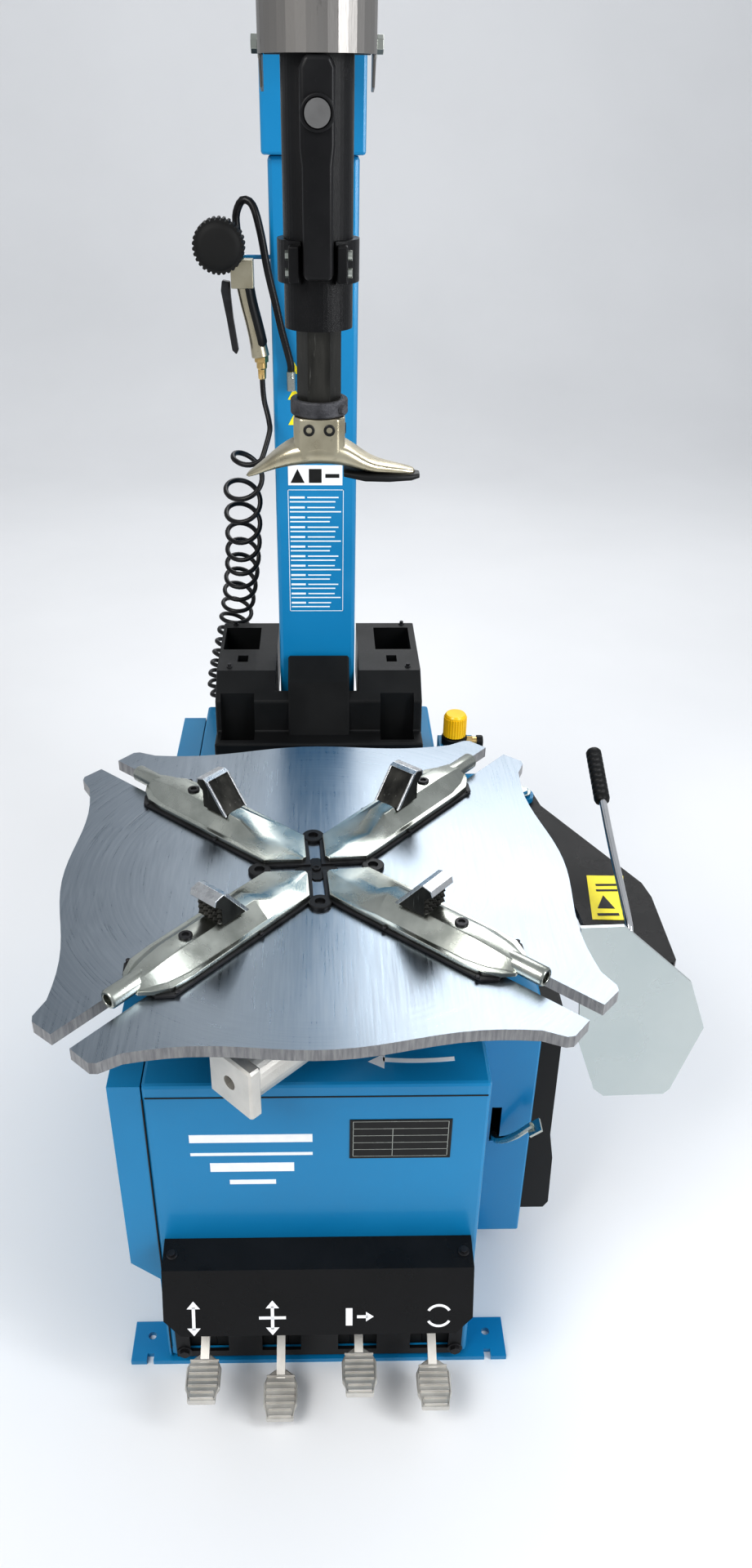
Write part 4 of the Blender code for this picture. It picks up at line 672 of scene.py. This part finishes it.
def build_gauge():
    x, y, z = -0.133, 0.5115, 1.414
    boot = Form(MACHINE @ Matrix.Translation((x, y, z)))
    boot.plate(gear(30, 0.0335, 0.0362), -0.0165, 0.0165, "XZ")
    boot.lathe([(-0.0200, 0.0005), (-0.0202, 0.0225), (-0.0190, 0.0280), (-0.0150, 0.0325),
                (0.0150, 0.0338), (0.0190, 0.0310), (0.0190, 0.0285), (0.0160, 0.0270),
                (0.0160, 0.0005)], (0, 0, 0), (0, 1, 0), 56)
    boot.done("gauge_boot", "rubber", "column_body", "rubber", 0.0007, stands_for=("pressure_gauge",))
    dial = Form(MACHINE @ Matrix.Translation((x, y, z)))
    dial.lathe([(0.0160, 0.0005), (0.0160, 0.0262), (0.0170, 0.0262), (0.0170, 0.0005)],
               (0, 0, 0), (0, 1, 0), 40)
    dial.done("gauge_dial", "white_print", "column_body", "grey_plastic", angle=30)
    hand = Form(MACHINE @ Matrix.Translation((x, y + 0.0175, z)))
    hand.plate([(-0.0015, -0.006), (0.0015, -0.006), (0.0006, 0.020), (-0.0006, 0.020)],
               -0.0003, 0.0003, "XZ")
    hand.lathe([(-0.0004, 0.0003), (-0.0004, 0.0030), (0.0010, 0.0026), (0.0010, 0.0003)],
               (0, 0, 0), (0, 1, 0), 20)
    for step in range(11):
        angle = radians(-45 + 27 * step)
        hand.plate([(0.0205 * cos(angle), 0.0205 * sin(angle)),
                    (0.0240 * cos(angle + 0.03), 0.0240 * sin(angle + 0.03)),
                    (0.0240 * cos(angle - 0.03), 0.0240 * sin(angle - 0.03))], -0.0003, 0.0, "XZ")
    hand.done("gauge_hand", "black_print_and_shadow", "column_body", "black_plastic", angle=30)


def build_gun():
    path = smooth_line([(-0.1040, GUN_Y, 1.372), (-0.0980, GUN_Y, 1.335), (-0.0915, GUN_Y, 1.308),
                        (-0.0855, GUN_Y, 1.282), (-0.0815, GUN_Y, 1.258)], 0.010)
    rings, strip = [], []
    for index, point in enumerate(path):
        share = index / (len(path) - 1)
        wide = 0.0125 - 0.0018 * sin(pi * share) + 0.0008 * share
        way = (path[min(index + 1, len(path) - 1)] - path[max(index - 1, 0)]).normalized()
        across = way.cross(Vector((0, 1, 0))).normalized()
        def ring(shift, one, two):
            return [point + across * (shift + one * cos(2 * pi * k / 16))
                    + Vector((0, 1, 0)) * two * sin(2 * pi * k / 16) for k in range(16)]
        rings.append(ring(0.0, wide, 0.0125))
        strip.append(ring(0.0045, 0.0092, 0.0136) if 0.15 < share < 0.9 else ring(0.003, 0.006, 0.009))
    body = Form().loft(rings)
    body.box((-0.1205, GUN_Y - 0.014, 1.354), (-0.0880, GUN_Y + 0.014, 1.3920))
    body.lathe([(0, 0.0004), (0, 0.0095), (0.009, 0.0095), (0.011, 0.0075), (0.026, 0.0075),
                (0.028, 0.0062), (0.028, 0.0004)], (-0.109, GUN_Y, 1.3705), (0, 0, 1), 24)
    body.lathe([(0, 0.0004), (0, 0.0058), (0.021, 0.0058), (0.021, 0.0004)],
               (-0.1165, GUN_Y - 0.0005, 1.387), (0, -1, 0), 20)
    body.done("gun_body", "nickel_bronze", "column_body", "nickel_bronze", 0.002, 3,
              stands_for=("inflator_gun",), angle=45)
    grip = Form().loft(strip)
    grip.done("gun_grip", "black_plastic", "column_body", "black_plastic", angle=50)
    inlet = Form().rod((-0.0805, GUN_Y, 1.262), (-0.0802, GUN_Y, 1.250), 0.0105, 6)
    inlet.lathe([(0, 0.0004), (0, 0.0078), (0.009, 0.0078), (0.011, 0.0062), (0.024, 0.0058),
                 (0.026, 0.0046), (0.026, 0.0004)], (-0.0801, GUN_Y, 1.251), (0, 0, -1), 24)
    inlet.done("gun_fitting", "brass", "column_body", "brass", 0.0007, angle=30)


# ---- Cabinet, column, pedals and labels -----------------------------------------------------------
def hex_bolts(name, places, way, radius=0.0075, washer=0.0110, body="cabinet", material="black_oxide"):
    bolts = Form()
    way = Vector(way)
    for place in places:
        place = Vector(place)
        bolts.lathe([(-0.0004, 0.0004), (-0.0004, washer), (0.0012, washer), (0.0016, washer - 0.0006),
                     (0.0016, 0.0004)], place, way, 24)
        bolts.rod(place + way * 0.0014, place + way * 0.0060, radius, 6)
    return bolts.done(name, material, body, "steel", 0.0005, angle=30)


def build_fixings():
    hex_bolts("plate_bolts", [(-0.1955, -0.2503, 0.029), (0.1980, -0.2503, 0.029)], (0, -1, 0))
    hex_bolts("cover_bolts", [(-0.195, -0.2675, 0.2725), (0.195, -0.2675, 0.2725)], (0, -0.16, 0.987),
              0.005, 0.0075)
    hex_bolts("side_bolts", [(-0.2570, y, z) for y in (-0.19, 0.64) for z in (0.29, 0.53)],
              (-1, 0, 0), 0.0055, 0.0085)
    hex_bolts("housing_bolts", [(0.3020, 0.470, z) for z in (0.170, 0.515)], (1, 0, 0), 0.0055, 0.0085)
    hex_bolts("column_bolts", [(side * 0.0600, 0.640, z) for side in (-1, 1) for z in (1.36, 1.41)
                               if side > 0], (1, 0, 0), 0.0060, 0.0090, "column_body")
    hex_bolts("blade_bolt", [(0.450, 0.000, 0.5700)], (0, 0, 1), 0.0090, 0.0125, "breaker_arm", "zinc")
    hex_bolts("hinge_nut", [(0.350, 0.415, 0.5735)], (0, 0, 1), 0.0105, 0.0150, "cabinet", "zinc")
    hex_bolts("tray_screws", [(0.0025 + side * 0.155, y, 0.7420) for side in (-1, 1)
                              for y in (0.560, 0.744)], (0, 0, 1), 0.0036, 0.0052)


def build_shadow_gaps_and_flaps():
    """Painted shadow: dark strips in the folds where the cabinet's sheets meet."""
    shadow_gap = Form()
    # Painted shadow along the gap under the top sheet's front fold.
    shadow_gap.plate([(-0.2120, 0.5405), (0.2120, 0.5405), (0.2120, 0.5425), (-0.2120, 0.5425)],
               -0.2456, -0.2448, "XZ")
    # Painted shadow down the gap at the front panel's left edge.
    shadow_gap.plate([(-0.2165, 0.030), (-0.2150, 0.030), (-0.2150, 0.5400), (-0.2165, 0.5400)],
               -0.2456, -0.2448, "XZ")
    shadow_gap.done("cabinet_shadow_gaps", "black_print_and_shadow", "cabinet", "blue_paint")
    flaps = Form()
    for x in (-0.159, -0.0545, 0.0555, 0.160):
        for side in (-1, 1):
            flaps.plate([(x + side * 0.0105, 0.020), (x + side * 0.0310, 0.020),
                         (x + side * 0.0310, 0.1620), (x + side * 0.0105, 0.1560)],
                        -0.2405, -0.2380, "XZ")
        flaps.plate([(x - 0.0100, 0.020), (x + 0.0100, 0.020), (x + 0.0100, 0.0480),
                     (x - 0.0100, 0.0480)], -0.2395, -0.2375, "XZ")
    flaps.done("pedal_flaps", "rubber", "cabinet", "rubber", 0.0004)


PEDALS = ((-0.159, -1.5, "tilt_lever"), (-0.0545, 6.7, "clamp_lever"), (0.0555, -3.3, "bead_lever"),
          (0.160, 2.2, "turn_lever"))


def build_treads():
    for number, (x, rest, body) in enumerate(PEDALS, 1):
        place = (MACHINE @ Matrix.Translation((x, PEDAL_SHAFT_Y, PEDAL_SHAFT_LEVEL))
                 @ Matrix.Rotation(radians(rest), 4, "X"))
        ribs = Form(place)
        for step in range(7):
            y = -0.4155 + 0.0090 * step
            half = 0.0160 if step < 2 else 0.0200
            ribs.plate([(y - 0.0016, -0.0357), (y + 0.0016, -0.0357), (y + 0.0008, -0.0330),
                        (y - 0.0008, -0.0330)], -half, half, "YZ")
        for side in (-1, 1):
            ribs.plate([(side * 0.0172, -0.4170), (side * 0.0185, -0.4170), (side * 0.0225, -0.3990),
                        (side * 0.0225, -0.3700), (side * 0.0210, -0.3700), (side * 0.0210, -0.3985)],
                       -0.0357, -0.0338)
        ribs.done(f"tread_ribs_{number}", "aluminium", body, "aluminium", 0.0004, 1)


def flat_marks(form, shapes, low, high, plane):
    for shape in shapes:
        form.plate(shape, low, high, plane)
    return form


def bar(x, y, wide, tall):
    return [(x, y), (x + wide, y), (x + wide, y + tall), (x, y + tall)]


def mark_column():
    face = COLUMN_FRONT
    panel = Form().plate(bar(-0.0440, 1.0640, 0.0860, 0.0320), face - 0.0006, face + 0.0004, "XZ")
    panel.done("column_panel", "white_print", "column_body", "black_plastic")
    signs = [[(-0.0400, 1.0680), (-0.0180, 1.0680), (-0.0290, 1.0900)],
             bar(-0.0110, 1.0680, 0.0200, 0.0220), bar(0.0150, 1.0760, 0.0220, 0.0060)]
    flat_marks(Form(), signs, face - 0.0009, face - 0.0005, "XZ").done(
        "column_signs", "black_print_and_shadow", "column_body", "black_plastic")
    lines = [bar(-0.0450, 0.8500, 0.0890, 0.0010), bar(-0.0450, 1.0560, 0.0890, 0.0010),
             bar(-0.0450, 0.8500, 0.0010, 0.2070), bar(0.0430, 0.8500, 0.0010, 0.2070)]
    for row in range(12):
        level = 0.8570 + 0.0163 * row
        lines += [bar(-0.0420, level + 0.0064, 0.0240, 0.0032),
                  bar(-0.0420, level, 0.0640 + 0.0090 * ((row * 5) % 3), 0.0020)]
        lines.append(bar(-0.0140, level + 0.0070, 0.0380 + 0.0060 * (row % 3), 0.0020))
    flat_marks(Form(), lines, face - 0.0006, face + 0.0002, "XZ").done(
        "column_lines", "white_print", "column_body", "black_plastic")
    triangles = [[(-0.0420, level), (-0.0220, level), (-0.0320, level + 0.0180)]
                 for level in (1.1580, 1.1960, 1.2340)]
    flat_marks(Form(), triangles, face - 0.0006, face + 0.0004, "XZ").done(
        "column_triangles", "yellow_print", "column_body", "yellow_plastic")


def mark_arm():
    level = ARM_TOP
    flat_marks(Form(), [[(0.4050, 0.0800), (0.4520, 0.0780), (0.4750, 0.1880), (0.4180, 0.1900)]],
               level - 0.0004, level + 0.0006, "XY").done("arm_panel", "yellow_print", "breaker_arm",
                                                          "yellow_plastic")
    marks = [[(0.4180, 0.1060), (0.4440, 0.1050), (0.4330, 0.1380)], bar(0.4150, 0.0880, 0.0320, 0.0060),
             bar(0.4250, 0.1480, 0.0330, 0.0050), bar(0.4270, 0.1620, 0.0330, 0.0050)]
    flat_marks(Form(), marks, level + 0.0005, level + 0.0009, "XY").done(
        "arm_marks", "black_print_and_shadow", "breaker_arm", "black_plastic")


def mark_front():
    front = CABINET_FRONT
    emblem = [bar(-0.1620, 0.4620, 0.1560, 0.0140), bar(-0.1620, 0.4380, 0.1560, 0.0050),
              bar(-0.1380, 0.4080, 0.1080, 0.0160), bar(-0.1140, 0.3840, 0.0600, 0.0080)]
    flat_marks(Form(), emblem, front - 0.0006, front + 0.0004, "XZ").done(
        "front_emblem", "white_print", "cabinet", "black_plastic")
    nameplate = Form().plate(bar(0.0410, 0.4310, 0.1290, 0.0700), front - 0.0010, front + 0.0004, "XZ")
    nameplate.done("front_plate", "black_print_and_shadow", "cabinet", "black_plastic", 0.0003)
    rows = [bar(0.0450, 0.4350 + 0.0125 * row, 0.1210, 0.0008) for row in range(6)]
    rows += [bar(0.0450, 0.4350, 0.0008, 0.0625), bar(0.0950, 0.4350, 0.0008, 0.0500),
             bar(0.1652, 0.4350, 0.0008, 0.0625)]
    flat_marks(Form(), rows, front - 0.0013, front - 0.0009, "XZ").done(
        "front_lines", "zinc", "cabinet", "aluminium")


def mark_top():
    bow = [(x, -0.2000 - 0.0060 * cos((x - 0.125) * 22)) for x in
           [0.0830 + 0.0100 * step for step in range(10)]]
    arrow = [*[(x, y + 0.0035) for x, y in bow], *[(x, y - 0.0035) for x, y in reversed(bow)]]
    flat_marks(Form(), [arrow, [(0.0640, -0.2070), (0.0860, -0.1930), (0.0840, -0.2190)]],
               CABINET_TOP - 0.0002, CABINET_TOP + 0.0006, "XY").done(
                   "turn_arrow", "white_print", "cabinet", "black_plastic")


def build_pictograms():
    """One plain white sign over each pedal, on the cover's sloping front."""
    slope = atan2(0.030, 0.097)
    for number, x in enumerate((-0.1666, -0.0614, 0.0515, 0.1613)):
        place = (MACHINE @ Matrix.Translation((x, -0.3118, 0.1985))
                 @ Matrix.Rotation(-slope, 4, "X") @ Matrix.Diagonal((1.5, 1.0, 1.5, 1.0)))
        shapes = [bar(-0.0015, -0.0120, 0.0030, 0.0240)]
        for side in (-1, 1):
            shapes.append([(-0.0060, side * 0.0100), (0.0060, side * 0.0100), (0.0, side * 0.0180)])
        if number == 1:
            shapes.append(bar(-0.0120, -0.0015, 0.0240, 0.0030))
        if number == 2:
            shapes = [bar(-0.0100, -0.0090, 0.0060, 0.0180), bar(0.0, -0.0015, 0.0100, 0.0030),
                      [(0.0080, -0.0050), (0.0080, 0.0050), (0.0150, 0.0)]]
        if number == 3:
            shapes = [[*arc((0, 0), 0.0120, start, start + 120, 10),
                       *arc((0, 0), 0.0095, start + 120, start, 10)] for start in (30, 210)]
        flat_marks(Form(place), shapes, -0.0004, 0.0004, "XZ").done(
            f"pedal_sign_{number + 1}", "white_print", "cabinet", "black_plastic")


def build_labels():
    """Plain panels, bars and arrows in place of every printed mark."""
    mark_column()
    mark_arm()
    mark_front()
    mark_top()
    build_pictograms()


def build_regulator():
    x, y, z = 0.2435, 0.536, 0.600
    wall = 0.2163
    bracket = Form().box((wall, y - 0.0275, z), (x + 0.035, y + 0.0275, z + 0.0035))
    bracket.box((wall, y - 0.0275, 0.5210), (wall + 0.0035, y + 0.0275, z + 0.003))
    bracket.done("regulator_bracket", "blue_paint", "cabinet", "blue_paint", 0.0010)
    core = Form().lathe([(0, 0.0004), (0, 0.0225), (0.0130, 0.0228), (0.0150, 0.0215),
                         (0.0150, 0.0004)], (x, y, z + 0.0030), (0, 0, 1), 36)
    core.plate([(x - 0.0215, y - 0.0160), (x - 0.0160, y - 0.0215), (x + 0.0160, y - 0.0215),
                (x + 0.0215, y - 0.0160), (x + 0.0215, y + 0.0160), (x + 0.0160, y + 0.0215),
                (x - 0.0160, y + 0.0215), (x - 0.0215, y + 0.0160)], z - 0.045, z)
    core.lathe([(0, 0.0004), (0, 0.0185), (0.060, 0.0185), (0.070, 0.0150), (0.074, 0.0080),
                (0.080, 0.0075), (0.080, 0.0004)], (x, y, z - 0.040), (0, 0, -1), 32)
    core.done("regulator_core", "black_plastic", "cabinet", "black_plastic", 0.0010,
              stands_for=("air_regulator",))
    port = Form().rod((x + 0.0150, y, z + 0.0055), (x + 0.0320, y, z + 0.0055), 0.0108, 6)
    port.lathe([(0.017, 0.0004), (0.017, 0.0085), (0.026, 0.0085), (0.026, 0.0004)],
               (x + 0.0150, y, z + 0.0055), (1, 0, 0), 24)
    port.done("regulator_port", "brass", "cabinet", "brass", 0.0006, angle=30)
    plug = Form().lathe([(0, 0.0004), (0, 0.0112), (0.0090, 0.0112), (0.0110, 0.0100),
                         (0.0110, 0.0004)], (x + 0.0400, y, z + 0.0055), (1, 0, 0), 28)
    plug.done("regulator_plug", "black_plastic", "cabinet", "black_plastic", 0.0006, angle=30)
    knob = Form(MACHINE @ Matrix.Translation((x, y, 0)))
    knob.plate(gear(26, 0.0188, 0.0204), z + 0.0200, z + 0.0560)
    knob.lathe([(0, 0.0004), (0, 0.0180), (0.0018, 0.0195), (0.0400, 0.0190), (0.0435, 0.0165),
                (0.0438, 0.0004)], (0, 0, z + 0.0184), (0, 0, 1), 40)
    knob.done("knob_body", "yellow_plastic", "knob", "yellow_plastic", 0.0006,
              stands_for=("regulator_knob",))


def build_bead_handle():
    foot, top = Vector((0.4460, 0.0330, 0.5593)), Vector((0.4410, 0.3320, 0.7000))
    along = (top - foot).normalized()
    line = smooth_line([foot, foot + Vector((0, 0, 0.012)), foot + Vector((0, 0.010, 0.026)),
                        foot.lerp(top, 0.5) + Vector((0, 0, 0.006)), top - along * 0.010], 0.010)
    rod = hose("handle_rod", line, 0.0058, "breaker_arm", "steel", 20, "chrome")
    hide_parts("bead_handle")
    washer = Form().lathe([(0, 0.0062), (0, 0.0130), (0.0016, 0.0130), (0.0016, 0.0105),
                           (0.0080, 0.0105), (0.0080, 0.0062)], foot - Vector((0, 0, 0.0003)), (0, 0, 1), 6)
    washer.done("handle_nut", "zinc", "breaker_arm", "steel", 0.0006, angle=30)
    profile = [(0, 0.0060), (0.001, 0.0105), (0.006, 0.0122)]
    for step in range(8):
        profile += [(0.012 + step * 0.010, 0.0122), (0.014 + step * 0.010, 0.0112),
                    (0.016 + step * 0.010, 0.0122)]
    profile += [(0.094, 0.0120), (0.098, 0.0095), (0.0995, 0.0005)]
    grip = Form().lathe(profile, top - along * 0.096, along, 32)
    grip.done("handle_grip", "black_plastic", "breaker_arm", "black_plastic", angle=50)


def build_wires():
    hook = smooth_line([(-0.0620, 0.577, 1.392), (-0.0950, 0.577, 1.392), (-0.1075, 0.575, 1.397),
                        (-0.1100, 0.566, 1.400), (-0.1060, 0.5605, 1.400)], 0.003)
    hose("gun_wire", hook, 0.0020, "column_body", "steel", 12, "chrome")


# ---- Assembly -----------------------------------------------------------------------------------
build_camera()
build_studio()
build_materials()
build_backdrop()
finish_nodes()
build_hoses()
build_slides()
build_table_middle()
build_mount_head()
build_handle()
build_guard_fixings()
build_gauge()
build_gun()
build_fixings()
build_shadow_gaps_and_flaps()
build_treads()
build_labels()
build_regulator()
build_bead_handle()
build_wires()
